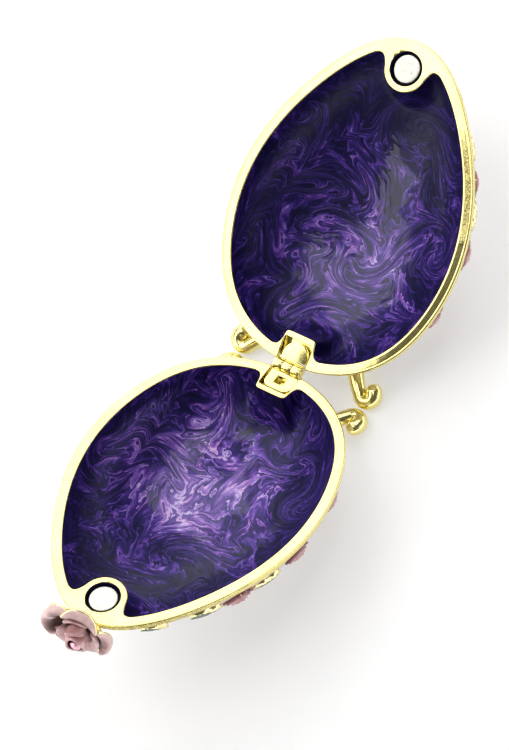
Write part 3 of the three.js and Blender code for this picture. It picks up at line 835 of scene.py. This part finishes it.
# ---------------------------------------------------------------- raised ornament on the back
def on_body(s0, phi0):
    def at(s, phi):
        w = width_at(s, BODY_OUT)
        return np.stack([w * np.cos(phi), s, -BODY_K * w * np.sin(phi)], -1)

    e = 0.02
    ds = np.linalg.norm(at(s0 + e, phi0) - at(s0 - e, phi0)) / (2 * e)
    dp = np.linalg.norm(at(s0, phi0 + e) - at(s0, phi0 - e)) / (2 * e)

    def f(u, v, h):
        s = np.clip(s0 + v / ds, START - BODY_OUT + 0.05, START + MOUTH_L + BODY_OUT - 0.05)
        phi = phi0 - u / dp
        p = at(s, phi)
        A, B = at(s + e, phi) - at(s - e, phi), at(s, phi - e) - at(s, phi + e)
        n = np.cross(B, A)
        n /= np.maximum(np.linalg.norm(n, axis=-1), 1e-9)[..., None]
        out = np.stack([p[..., 0], np.zeros_like(p[..., 0]), p[..., 2]], -1)
        n *= np.where((n * out).sum(-1) < 0, -1, 1)[..., None]
        return p + n * np.asarray(h)[..., None]

    return f


def patch(name, half, mapper, outline_r, height, nr, na, mats, attrs_fn, mirror):
    """Closed raised patch: polar grid with a height, a skirt below the body and a bottom."""
    a = np.linspace(0, 2 * pi, na, endpoint=False)
    R = outline_r(a)
    rows, att = [], {"edge": [], "deep": []}
    for j in range(1, nr + 1):
        f = (j / nr) ** 0.85
        u, v = R * f * np.cos(a), R * f * np.sin(a)
        h = height(u, v)
        rows.append(mapper(u, v, h))
        e, d = attrs_fn(u, v, h, np.full(na, f))
        att["edge"].append(e)
        att["deep"].append(d)
    u, v = R * np.cos(a), R * np.sin(a)
    rows.append(mapper(u, v, np.full(na, -0.9)))
    att["edge"].append(att["edge"][-1])
    att["deep"].append(np.ones(na))
    V = np.concatenate(rows)
    z = np.zeros(1)
    h0 = height(z, z)
    V = np.concatenate([V, mapper(z, z, h0), mapper(z, z, np.full(1, -0.9))])
    e, d = attrs_fn(z, z, h0, z)
    edge = np.concatenate(att["edge"] + [e, [0]])
    deep = np.concatenate(att["deep"] + [d, [1]])
    F = grid_faces(nr + 1, na).tolist()
    for k in range(na):
        F.append((len(V) - 2, (k + 1) % na, k))
        F.append((len(V) - 1, nr * na + k, nr * na + (k + 1) % na))
    if mirror:
        V = V * [-1, 1, 1]
    W = row(V, half)
    W[:, 2] = np.maximum(W[:, 2], 2e-5)
    ob = mesh_from(name, W, F, mats, None, {"edge": edge, "deep": deep})
    fix_outward(ob)
    return ob


def flower(half, s0, phi, r, hgt, turn, mirror):
    mapper = on_body(s0, radians(phi))
    layers = [(1.0, 5, 0.0, 0.42), (0.74, 5, 0.63, 0.66), (0.50, 4, 0.2, 0.86), (0.28, 3, 0.9, 1.0)]

    def height(u, v):
        rho, th = np.hypot(u, v) / r, np.arctan2(v, u)
        best = np.full_like(rho, 0.05 * hgt)
        for R, n, t0, top in layers:
            for k in range(n):
                c = 2 * pi * k / n + t0 + turn
                d = np.abs((th - c + pi) % (2 * pi) - pi) / (pi / n * 1.25)
                rim = R * (1 - 0.16 * d ** 2.2)
                inside = (rho < rim) & (d < 1)
                cup = np.clip(rho / np.maximum(rim, 1e-3), 0, 1)
                h = hgt * (top - 0.34 * (1 - cup ** 3) - 0.06 * np.sin((d * 2) ** 2) + 0.02 * np.sin(5 * th + 9 * rho) - 0.12 * d ** 3)
                best = np.where(inside & (h > best), h, best)
        return best

    def attrs(u, v, h, f):
        rho, th = np.hypot(u, v) / r, np.arctan2(v, u)
        # painted shade: darker where the relief is low, between and under the petals
        edge, deep = np.zeros_like(rho), np.clip(1 - h / hgt * 1.3, 0, 1)
        for R, n, t0, top in layers:
            for k in range(n):
                c = 2 * pi * k / n + t0 + turn
                d = np.abs((th - c + pi) % (2 * pi) - pi) / (pi / n * 1.25)
                rim = R * (1 - 0.16 * d ** 2.2)
                m = (d < 1) & (rho < rim)
                edge = np.where(m, np.maximum(edge * 0, np.exp(-((rim - rho) / 0.05) ** 2)), edge)
        return edge, deep

    def out(a):
        d = np.min([np.abs((a - (2 * pi * k / 5 + turn) + pi) % (2 * pi) - pi) / (pi / 5 * 1.25) for k in range(5)], 0)
        return r * (1 - 0.16 * d ** 2.2)

    return patch("flower", half, mapper, out, height, 26, 110, [PINK], attrs, mirror)


def leaf_piece(half, s0, phi, length, width, angle, hgt, mirror, tip_pink=False):
    mapper0 = on_body(s0, radians(phi))
    ca, sa = cos(angle), sin(angle)
    mapper = lambda u, v, h: mapper0(u * ca - v * sa, u * sa + v * ca, h)

    def out(a):
        l, w = np.cos(a), np.sin(a)
        tip = np.where(l > 0, 0.32, 0.12)
        x, y = l * length / 2, w * np.abs(w) ** 0.15 * width / 2 * (1 - tip * np.abs(l) ** 2)
        rr = np.hypot(x, y)
        return rr * (1 + 0.025 * np.abs(np.sin(11 * a)))

    def height(u, v):
        x, y = u / (length / 2), v / (width / 2)
        mid = np.exp(-(y / 0.09) ** 2)
        vein = np.abs(np.sin(8.0 * (x - 0.55 * np.abs(y))))
        dome = np.clip(1 - x ** 2 * 0.8, 0, 1) * (1 - 0.35 * np.abs(y))
        return hgt * (0.35 + 0.6 * dome - 0.22 * mid * np.clip(1.1 - np.abs(x), 0, 1) - 0.07 * (1 - vein) * (1 - mid) + 0.12 * np.abs(y))

    def attrs(u, v, h, f):
        x, y = u / (length / 2), v / (width / 2)
        edge = np.clip((f - 0.86) / 0.12, 0, 1)
        vein = np.abs(np.sin(8.0 * (x - 0.55 * np.abs(y))))
        # painted shade in the groove of the midrib and the veins
        deep = np.clip(0.55 * np.exp(-(y / 0.07) ** 2) + 0.35 * (1 - vein) ** 3, 0, 1)
        return edge, deep

    return patch("leaf", half, mapper, out, height, 16, 72, [LEAF], attrs, mirror)


SPRAY = [
    ("rose", 31, 90, 4.6, 1.5), ("leaf", 38.8, 78, 6.4, 3.2, 1.1, 0.9), ("leaf", 24.2, 104, 6.4, 3.2, -2.2, 0.9),
    ("rose", 11.4, 90, 2.9, 1.2),
    ("rose", 40.0, 26, 2.7, 1.2), ("leaf", 45.4, 24, 5.6, 2.6, 1.35, 0.85), ("leaf", 35.0, 22, 5.2, 2.5, -1.5, 0.85),
    ("rose", 28.5, 20, 2.6, 1.1), ("leaf", 52.0, 34, 5.0, 2.6, 1.1, 0.8),
    ("rose", 40.0, 154, 2.7, 1.2), ("leaf", 45.4, 156, 5.6, 2.6, 1.8, 0.85),
    ("rose", 19.0, 154, 2.6, 1.1), ("leaf", 25.0, 156, 5.0, 2.5, 1.5, 0.8),
    ("rose", 17.0, 22, 2.6, 1.1),
]


def spray(half):
    mirror = half == "lower"
    obs = []
    for k, (kind, s, phi, *a) in enumerate(SPRAY):
        if kind == "rose":
            obs.append(flower(half, s, phi, a[0], a[1], 0.37 * k, mirror))
        else:
            obs.append(leaf_piece(half, s, phi, a[0], a[1], a[2], a[3], mirror))
    return join(half + "_raised_flowers", obs)


# ---------------------------------------------------------------- rose at the narrow end
ROSE_C = np.array([0.0, 60.35, -0.2])


def rose_basis():
    w = np.array([-0.2, 1.0, -0.1])
    w /= np.linalg.norm(w)
    a = np.array([1.0, 0, 0]) - w * w[0]
    a /= np.linalg.norm(a)
    return a, np.cross(w, a), w


RA, RB, RW = rose_basis()


def rose_to_half(P):
    P = np.asarray(P)
    return ROSE_C + P[..., :1] * RA + P[..., 1:2] * RB + P[..., 2:3] * RW


def petal(turn, prof, half_width, cup, wave, seed, thick=0.75, gold_tip=0.86, nu=30, nv=22, base=0.3, back=0.80, painted_shade=1.75, squeeze=1.0):
    """Thick closed petal: prof gives (distance from the middle, height) from root to tip."""
    rng = np.random.RandomState(seed)
    ph, ph2 = rng.uniform(0, 6.28, 2)
    prof = np.array(prof, float)
    kk = np.linspace(0, 1, len(prof))
    u = np.linspace(-1, 1, nu + 1)[:, None] * np.ones((1, nv + 1))
    v = np.linspace(0, 1, nv + 1)[None, :] * np.ones((nu + 1, 1))
    # a rounded outline: the sides of the petal reach less far out than its middle
    vv = v * (1 - 0.26 * np.abs(u) ** 2.4 - 0.10 * np.abs(u) ** 7)
    r, w = np.interp(vv, kk, prof[:, 0]), np.interp(vv, kk, prof[:, 1])
    r = r * (1 + 0.03 * np.sin(3.1 * u + ph) * v)
    wid = half_width * (base + (1 - base) * np.sin(pi / 2 * np.clip(v * 1.35, 0, 1)))
    a = u * wid / np.maximum(2.4, prof[-1, 0] * 0.75)
    w = w + cup * u * u * v + wave * v ** 1.5 * np.sin(2.9 * u + ph) + 0.3 * wave * v ** 3 * np.sin(6.5 * u + ph2)
    P = np.stack([r * np.cos(a + turn), r * np.sin(a + turn), w], -1)
    du, dv = np.gradient(P, axis=0), np.gradient(P, axis=1)
    n = np.cross(du, dv)
    n /= np.maximum(np.linalg.norm(n, axis=-1), 1e-9)[..., None]
    if n[nu // 2, nv // 2, 2] < 0:
        n = -n
    e = np.maximum(np.abs(u), v)
    t = thick * np.sqrt(np.clip(1.02 - e ** 6, 0.02, 1))
    top, bot = P + n * (t / 2)[..., None], P - n * (t / 2)[..., None]
    m = (nu + 1) * (nv + 1)
    V = np.concatenate([top.reshape(-1, 3), bot.reshape(-1, 3)])
    V[:, 0] *= squeeze
    idd = lambda i, j, k: k * m + i * (nv + 1) + j
    F = []
    for i in range(nu):
        for j in range(nv):
            F.append((idd(i, j, 0), idd(i + 1, j, 0), idd(i + 1, j + 1, 0), idd(i, j + 1, 0)))
            F.append((idd(i, j, 1), idd(i, j + 1, 1), idd(i + 1, j + 1, 1), idd(i + 1, j, 1)))
    for i in range(nu):
        F.append((idd(i, 0, 0), idd(i, 0, 1), idd(i + 1, 0, 1), idd(i + 1, 0, 0)))
        F.append((idd(i, nv, 0), idd(i + 1, nv, 0), idd(i + 1, nv, 1), idd(i, nv, 1)))
    for j in range(nv):
        F.append((idd(0, j, 0), idd(0, j + 1, 0), idd(0, j + 1, 1), idd(0, j, 1)))
        F.append((idd(nu, j, 0), idd(nu, j, 1), idd(nu, j + 1, 1), idd(nu, j + 1, 0)))
    if gold_tip < 1:
        # painted highlight: a pale band leads up to the gilt edge
        g = np.maximum(np.clip((v - gold_tip) / (1 - gold_tip), 0, 1), 0.5 * np.clip((v - gold_tip + 0.20) / 0.20, 0, 1))
        e = np.maximum(g, np.clip((np.abs(u) - 0.93) / 0.07, 0, 1) * np.clip(v * 2 - 0.5, 0, 1) * 0.9)
    else:
        e = np.zeros_like(u)
    edge = np.concatenate([e.reshape(-1), np.maximum(e, back).reshape(-1)])  # gilt backs on the outer row
    # painted shade: darkest at the root of each petal, deep in the rose, on both faces
    d = np.clip(painted_shade - v * 2.4, 0, 1)
    deep = np.concatenate([d.reshape(-1), np.clip(painted_shade - 0.5 - v * 1.6, 0, 1).reshape(-1)])
    return V, F, edge, deep


clo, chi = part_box("rose_crystal")
STONE = np.array([(clo[i] + chi[i]) * 500.0 for i in range(3)]) - HINGE
STONE = np.array([-STONE[0], -STONE[1] * CT + STONE[2] * ST, STONE[1] * ST + STONE[2] * CT]) - ROSE_C
STONE = np.array([STONE @ RA, STONE @ RB, STONE @ RW])  # in the rose's own axes
STONE += np.array([-1.3, -0.8, -1.2])  # the bud leans towards the ornament side


def rose():
    obs = []
    # petals beside the parting plane are kept just outside the rim of the closed lid
    tab_s, tab_w = half_width_table(1.92)
    tip = tab_s > 40
    tab_s, tab_w = tab_s[tip][::-1], tab_w[tip][::-1]

    def add(V, F, edge, deep, shift=(0, 0, 0), mats=(ROSE,)):
        V = rose_to_half(np.asarray(V) + np.array(shift, float))
        far = np.interp(np.abs(V[:, 0]), tab_w, tab_s)
        V[:, 1] += np.maximum(far - V[:, 1], 0) * np.clip((V[:, 2] + 0.65) / 0.35, 0, 1)
        o = mesh_from("petal", row(V, "lower"), F, list(mats), None, {"edge": edge, "deep": deep})
        fix_outward(o)
        obs.append(o)

    # outer petals: hollow near the middle, with a lip that rolls back
    outer = [(0.9, -1.7), (2.2, -1.65), (3.4, -1.35), (4.5, -0.55), (5.35, 0.28), (6.05, 0.52), (6.6, 0.18), (6.95, -0.6)]
    for th, hw, k in ((-14, 3.4, 1), (-64, 3.3, 2), (-117, 3.6, 3), (170, 3.7, 4), (98, 4.3, 5), (42, 3.6, 6)):
        small = 0.88 if k > 4 else 1.0  # the two petals below the bud are the smallest
        prof = [(r * small, w - (0.35 if k > 4 else 0.0)) for r, w in outer]
        add(*petal(radians(th), prof, hw * small, 0.50, 0.22, 10 + k, 1.0, 0.80 if k in (2, 3) else 0.88, painted_shade=2.15, squeeze=0.84), shift=(0, 0, 0.12 * (k % 2)))
    # three middle petals round the bud
    c = np.array([STONE[0] * 0.5, STONE[1] * 0.5, -0.2])
    inner = [(0.6, -1.0), (1.6, -0.7), (2.4, -0.1), (3.0, 0.65), (3.45, 1.20), (3.8, 1.42), (4.05, 1.25)]
    for th, hw, k in ((26, 2.5, 1), (156, 2.7, 2), (-90, 2.3, 3)):
        add(*petal(radians(th), inner, hw, 0.30, 0.14, 40 + k, 0.85, 1.2, 24, 16, back=0.2, painted_shade=1.5, squeeze=0.92), shift=c + np.array([0, 0, -0.5 * (k == 3)]))
    # bud: a turned cup with a hollow for the stone
    h = STONE[2]
    prof = [(0, -1.6), (1.5, -1.6), (1.75, -1.0), (2.3, -0.3), (2.45, 0.3), (2.2, 0.9), (1.95, h - 2.0), (1.9, h - 1.2), (1.92, h - 0.6), (1.86, h - 0.15), (1.70, h + 0.08), (1.48, h + 0.05),
            (1.30, h - 0.25), (1.18, h - 0.7), (1.0, h - 0.95), (0, h - 1.0)]
    V, F = lathe(prof, 44)
    z = V[:, 2].copy()
    rr = np.hypot(V[:, 0], V[:, 1])
    th = np.arctan2(V[:, 1], V[:, 0])
    sw = 1 + 0.07 * np.sin(3 * th + z * 1.8) * (z > 0.4)
    V[:, 0] *= sw
    V[:, 1] *= sw
    V[:, 2] += 0.16 * np.sin(2 * th + 0.6) * (z > h - 1.3) * (rr > 1.2)
    V[:, :2] += np.array([STONE[0], STONE[1]]) * np.clip((z + 1.6) / (h + 1.6), 0.6, 1)[:, None]
    edge = np.where(z < -0.9, 0.9, 0.0)
    # painted shade inside the hollow round the stone and down the sides of the bud
    deep = np.where((rr < 1.42) & (z > h - 1.1), 1.0, np.clip(1 - (z - 0.2) / 1.8, 0, 1))
    add(V, F, edge, deep)
    # a last petal half wrapped round the bud
    wrap = [(1.5, 0.0), (1.95, 0.6), (2.2, 1.1), (2.35, h - 1.2), (2.42, h - 0.75), (2.46, h - 0.45)]
    add(*petal(radians(-75), wrap, 2.2, -0.3, 0.08, 60, 0.6, 1.2, 20, 14, 0.8, back=0.2, painted_shade=0.9), shift=(STONE[0], STONE[1], 0))
    return join("rose_blossom", obs)


def gem(r, seg=8):
    prof = [(0, -0.55), (r * 0.5, -0.28), (r, 0.0), (r, 0.07), (r * 0.62, 0.40), (0, 0.40)]
    V, F = lathe(prof, seg)
    return V, F


def crystal(name, half, M, centre):
    V, F = gem(0.95)
    V = centre + V @ M
    ob = mesh_from(name, row(V, half), F, [CRYSTAL], smooth=False)
    fix_outward(ob)
    return ob


# ---------------------------------------------------------------- hinge
def bevelled(ob, width=0.09, seg=3, angle=32):
    m = ob.modifiers.new("bevel", "BEVEL")
    m.width, m.segments, m.limit_method, m.angle_limit = width * 0.001, seg, "ANGLE", radians(angle)
    m.harden_normals = False
    apply_modifiers(ob)
    ob.data.shade_smooth()
    ob.data.set_sharp_from_angle(angle=radians(40))


def piece(half, V, F, name="bit", mats=None):
    ob = mesh_from(name, row(V, half), F, mats or [GOLD])
    fix_outward(ob)
    return ob


def rod_x(x0, x1, r, seg=32):
    V, F = lathe([(0, x0), (r, x0), (r, x1), (0, x1)], seg)
    return V[:, [2, 0, 1]], F


def box_mesh(x0, x1, y0, y1, z0, z1):
    p = np.array([[x0, y0], [x1, y0], [x1, y1], [x0, y1]], float)
    return prism_mesh([(p, z0), (p, z1)])


def cradle(half, x0, x1, r0=1.17, r1=1.42, a0=-22, a1=-94):
    """Curved wall under the barrel, part of a leaf."""
    an = np.radians(np.linspace(a0, a1, 13))
    ring = np.concatenate([np.column_stack([r1 * np.cos(an), r1 * np.sin(an)]), np.column_stack([r0 * np.cos(an[::-1]), r0 * np.sin(an[::-1])])])
    n = len(ring)
    V = np.concatenate([np.column_stack([np.full(n, x), ring]) for x in (x0, x1)])
    F = grid_faces(2, n).tolist() + [tuple(range(n)), tuple(range(2 * n - 1, n - 1, -1))]
    return piece(half, V, F)


def lower_leaf():
    z1, z0 = Z_RIM - 0.45, Z_RIM - 1.25
    pts = [(-2.55, 0.2), (2.55, 0.2)]
    for k in range(9):
        a = radians(90 * k / 8)
        pts.append((1.25 + 1.3 * cos(a), 3.2 + 1.3 * sin(a)))
    for k in range(9):
        a = radians(90 + 90 * k / 8)
        pts.append((-1.25 + 1.3 * cos(a), 3.2 + 1.3 * sin(a)))
    p = np.array(pts)
    ob = piece("lower", *prism_mesh([(p, z0), (p, z1)]), name="lower_hinge_plate")
    boolean(ob, piece("lower", *rod_x(-2.55, 2.55, 1.05)), "UNION")
    boolean(ob, piece("lower", *box_mesh(-1.0, 1.0, -3, 1.18, -5, 3)))
    boolean(ob, cradle("lower", -2.5, 2.5), "UNION")
    boolean(ob, piece("lower", *box_mesh(-0.95, 0.95, 1.8, 3.45, -5, 3)))
    boolean(ob, piece("lower", *rod_x(-5, 5, 0.56)))
    bevelled(ob)
    return ob


def upper_leaf():
    z1, z0 = Z_RIM - 0.45, Z_RIM - 1.25
    pts = [(-2.3, 1.45), (2.3, 1.45)]
    for k in range(25):
        a = radians(180 * k / 24)
        pts.append((2.3 * cos(a), 2.1 + 2.3 * sin(a)))
    p = np.array(pts)
    ob = piece("upper", *prism_mesh([(p, z0), (p, z1)]), name="upper_hinge_plate")
    boolean(ob, piece("upper", *box_mesh(-0.85, 0.85, 0.2, 2.2, z0, z1 - 0.001)), "UNION")
    boolean(ob, piece("upper", *rod_x(-0.85, 0.85, 1.05)), "UNION")
    boolean(ob, cradle("upper", -2.45, 2.45), "UNION")
    boolean(ob, piece("upper", *rod_x(-5, 5, 0.56)))
    bevelled(ob)
    return ob


def pin():
    V, F = lathe([(0, -2.67), (0.36, -2.67), (0.44, -2.64), (0.5, -2.56), (0.5, 2.56), (0.44, 2.64), (0.36, 2.67), (0, 2.67)], 28)
    V = V[:, [2, 0, 1]]
    ob = mesh_from("hinge_pin_rod", (V + HINGE) * 0.001, F, [GOLD])
    fix_outward(ob)
    ob.data.set_sharp_from_angle(angle=radians(50))
    return ob


def magnet(half):
    z1, z0 = Z_RIM - 0.35, Z_RIM - 1.6
    prof = [(0, z0), (MAG_R, z0), (MAG_R, z1 - 0.16), (MAG_R - 0.04, z1 - 0.07), (MAG_R - 0.12, z1 - 0.015), (MAG_R - 0.24, z1), (MAG_R - 0.9, z1 - 0.004), (0.9, z1 - 0.012), (0, z1 - 0.014)]
    V, F = lathe(prof, 72)
    V[:, 1] += MAG_S
    ob = piece(half, V, F, half + "_catch_magnet", [NICKEL])
    return ob


# ---------------------------------------------------------------- build it
for half in ("lower", "upper"):
    body = half + "_half"
    sh = shell(half)
    boolean(sh, magnet_cutter(half))
    boolean(sh, pocket_cutter(half))
    sh.data.shade_smooth()
    sh.data.set_sharp_from_angle(angle=radians(50))
    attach(sh, body)
    feet = [foot(half, 1), foot(half, -1)]
    for f in feet:
        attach(f, body)
    sp = spray(half)
    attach(sp, body)
    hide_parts(half + "_shell")
    mg = magnet(half)
    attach(mg, body)
    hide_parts(half + "_magnet")
    # crystal in the middle of the large flower on the back
    m0 = on_body(31, radians(90))
    z = np.zeros(1)
    c, up = m0(z, z, np.array([1.62]))[0], (m0(z, z, np.array([3.0])) - m0(z, z, np.array([1.0])))[0]
    up /= np.linalg.norm(up)
    a = np.array([1.0, 0, 0])
    b = np.cross(up, a)
    cr = crystal(half + "_back_stone", half, np.stack([a, b, up]), c)
    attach(cr, body)
    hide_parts(half + "_back_crystal")

ll, ul, pn = lower_leaf(), upper_leaf(), pin()
for o, body, node in ((ll, "lower_half", "lower_hinge_leaf"), (ul, "upper_half", "upper_hinge_leaf"), (pn, "lower_half", "hinge_pin")):
    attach(o, body)
    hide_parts(node)

rs = rose()
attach(rs, "lower_half")
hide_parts("rose_finial")
rc = crystal("rose_stone", "lower", np.stack([RA, RB, RW]), rose_to_half(STONE + np.array([0, 0, -0.15])))
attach(rc, "lower_half")
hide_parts("rose_crystal")

# ---------------------------------------------------------------- stage
floor = mesh_from("floor", [(-2, -2, 0), (2, -2, 0), (2, 2, 0), (-2, 2, 0)], [(0, 1, 2, 3)], [floor_material()], smooth=False)

# camera: fitted to the two rim outlines (axes right, down, forward; camera position)
RIGHT = np.array([0.8202333959902075, 0.5598243525693337, -0.11753242264455269])
DOWN = np.array([0.37888514176004806, -0.6856260652946966, -0.6215810067416642])
FWD = np.array([-0.4285594771508848, 0.46531021142764406, -0.7744825251000318])
TR = np.array([5.6688854001431785, -1.2042258140209252, 557.3833086652345])
tip = np.array([[1, 0, 0], [0, CT, ST], [0, -ST, CT]])
pos = (tip @ (-(RIGHT * TR[0] + DOWN * TR[1] + FWD * TR[2])) + HINGE) * 0.001
X, Y, Z = tip @ RIGHT, -(tip @ DOWN), -(tip @ FWD)
cam = bpy.data.objects.new("camera", bpy.data.cameras.new("camera"))
COLL.objects.link(cam)
cam.matrix_world = Matrix([[X[0], Y[0], Z[0], pos[0]], [X[1], Y[1], Z[1], pos[1]], [X[2], Y[2], Z[2], pos[2]], [0, 0, 0, 1]])
cam.data.sensor_width = 36.0
cam.data.lens = 3345.561566923397 * 36.0 / 750.0
cam.data.clip_start, cam.data.clip_end = 0.01, 20
SCENE.camera = cam
SCENE.view_settings.view_transform = "Standard"
SCENE.view_settings.look = "None"
SCENE.view_settings.exposure = 0.0


def softbox(name, position, target, w, h, power, color=(1, 1, 1)):
    d = bpy.data.lights.new(name, "AREA")
    d.shape, d.size, d.size_y, d.energy, d.color = "RECTANGLE", w, h, power, color
    o = bpy.data.objects.new(name, d)
    COLL.objects.link(o)
    o.location = position
    o.rotation_euler = (Vector(target) - Vector(position)).to_track_quat("-Z", "Y").to_euler()
    return o


# the studio: one broad overhead diffuser with the dark camera side cut out of it,
# a low strip on the right, and dim surroundings
world = bpy.data.worlds.new("studio")
SCENE.world = world
world.use_nodes = True
wt = world.node_tree
bg = wt.nodes["Background"]
tc = wt.nodes.new("ShaderNodeTexCoord")
sep = wt.nodes.new("ShaderNodeSeparateXYZ")
wt.links.new(tc.outputs["Generated"], sep.inputs[0])


def w_math(op, a, b):
    n = wt.nodes.new("ShaderNodeMath")
    n.operation = op
    for i, v in enumerate((a, b)):
        if isinstance(v, bpy.types.NodeSocket):
            wt.links.new(v, n.inputs[i])
        else:
            n.inputs[i].default_value = v
    return n.outputs[0]


def w_step(sock, a, b):
    n = wt.nodes.new("ShaderNodeMapRange")
    n.interpolation_type = "SMOOTHSTEP"
    wt.links.new(sock, n.inputs[0])
    up = b > a
    n.inputs[1].default_value, n.inputs[2].default_value = (a, b) if up else (b, a)
    n.inputs[3].default_value, n.inputs[4].default_value = (0.0, 1.0) if up else (1.0, 0.0)
    return n.outputs[0]


def w_box(x=None, y=None, z=None, soft=0.03):
    """1 inside a box of directions, soft at its sides."""
    out = None
    for i, lim in enumerate((x, y, z)):
        if lim is None:
            continue
        for v, sgn in ((lim[0], 1), (lim[1], -1)):
            if abs(v) >= 1:
                continue
            st = w_step(sep.outputs[i], v - sgn * soft, v + sgn * soft)
            out = st if out is None else w_math("MULTIPLY", out, st)
    return out


def w_not(v):
    return w_math("SUBTRACT", 1.0, v)


sky = None
for xr, yr, amount in (((-0.72, -0.33), (-0.75, -0.18), 2.6), ((-0.82, 0.20), (-0.23, 0.07), 2.6), ((-0.44, -0.10), (0.0, 0.20), 2.6),
                       ((-0.78, -0.37), (0.04, 0.60), 2.5), ((-0.78, 0.17), (0.52, 0.80), 2.3), ((0.0, 0.27), (0.22, 0.56), 2.6)):
    one = w_math("MULTIPLY", w_box(xr, yr, (0.18, 1.5), 0.018), amount)
    sky = one if sky is None else w_math("MAXIMUM", sky, one)
side = w_box((0.78, 1.5), (-0.05, 0.50), (0.10, 0.52), 0.05)
low = w_step(sep.outputs[2], 0.27, 0.20)
total = w_math("ADD", sky, w_math("MULTIPLY", side, 0.8))
total = w_math("ADD", total, w_math("MULTIPLY", low, 2.2))
total = w_math("ADD", total, 0.12)
bg.inputs[0].default_value = (1.0, 0.995, 0.985, 1)
wt.links.new(total, bg.inputs[1])

# ---------------------------------------------------------------- end
bpy.context.view_layer.update()
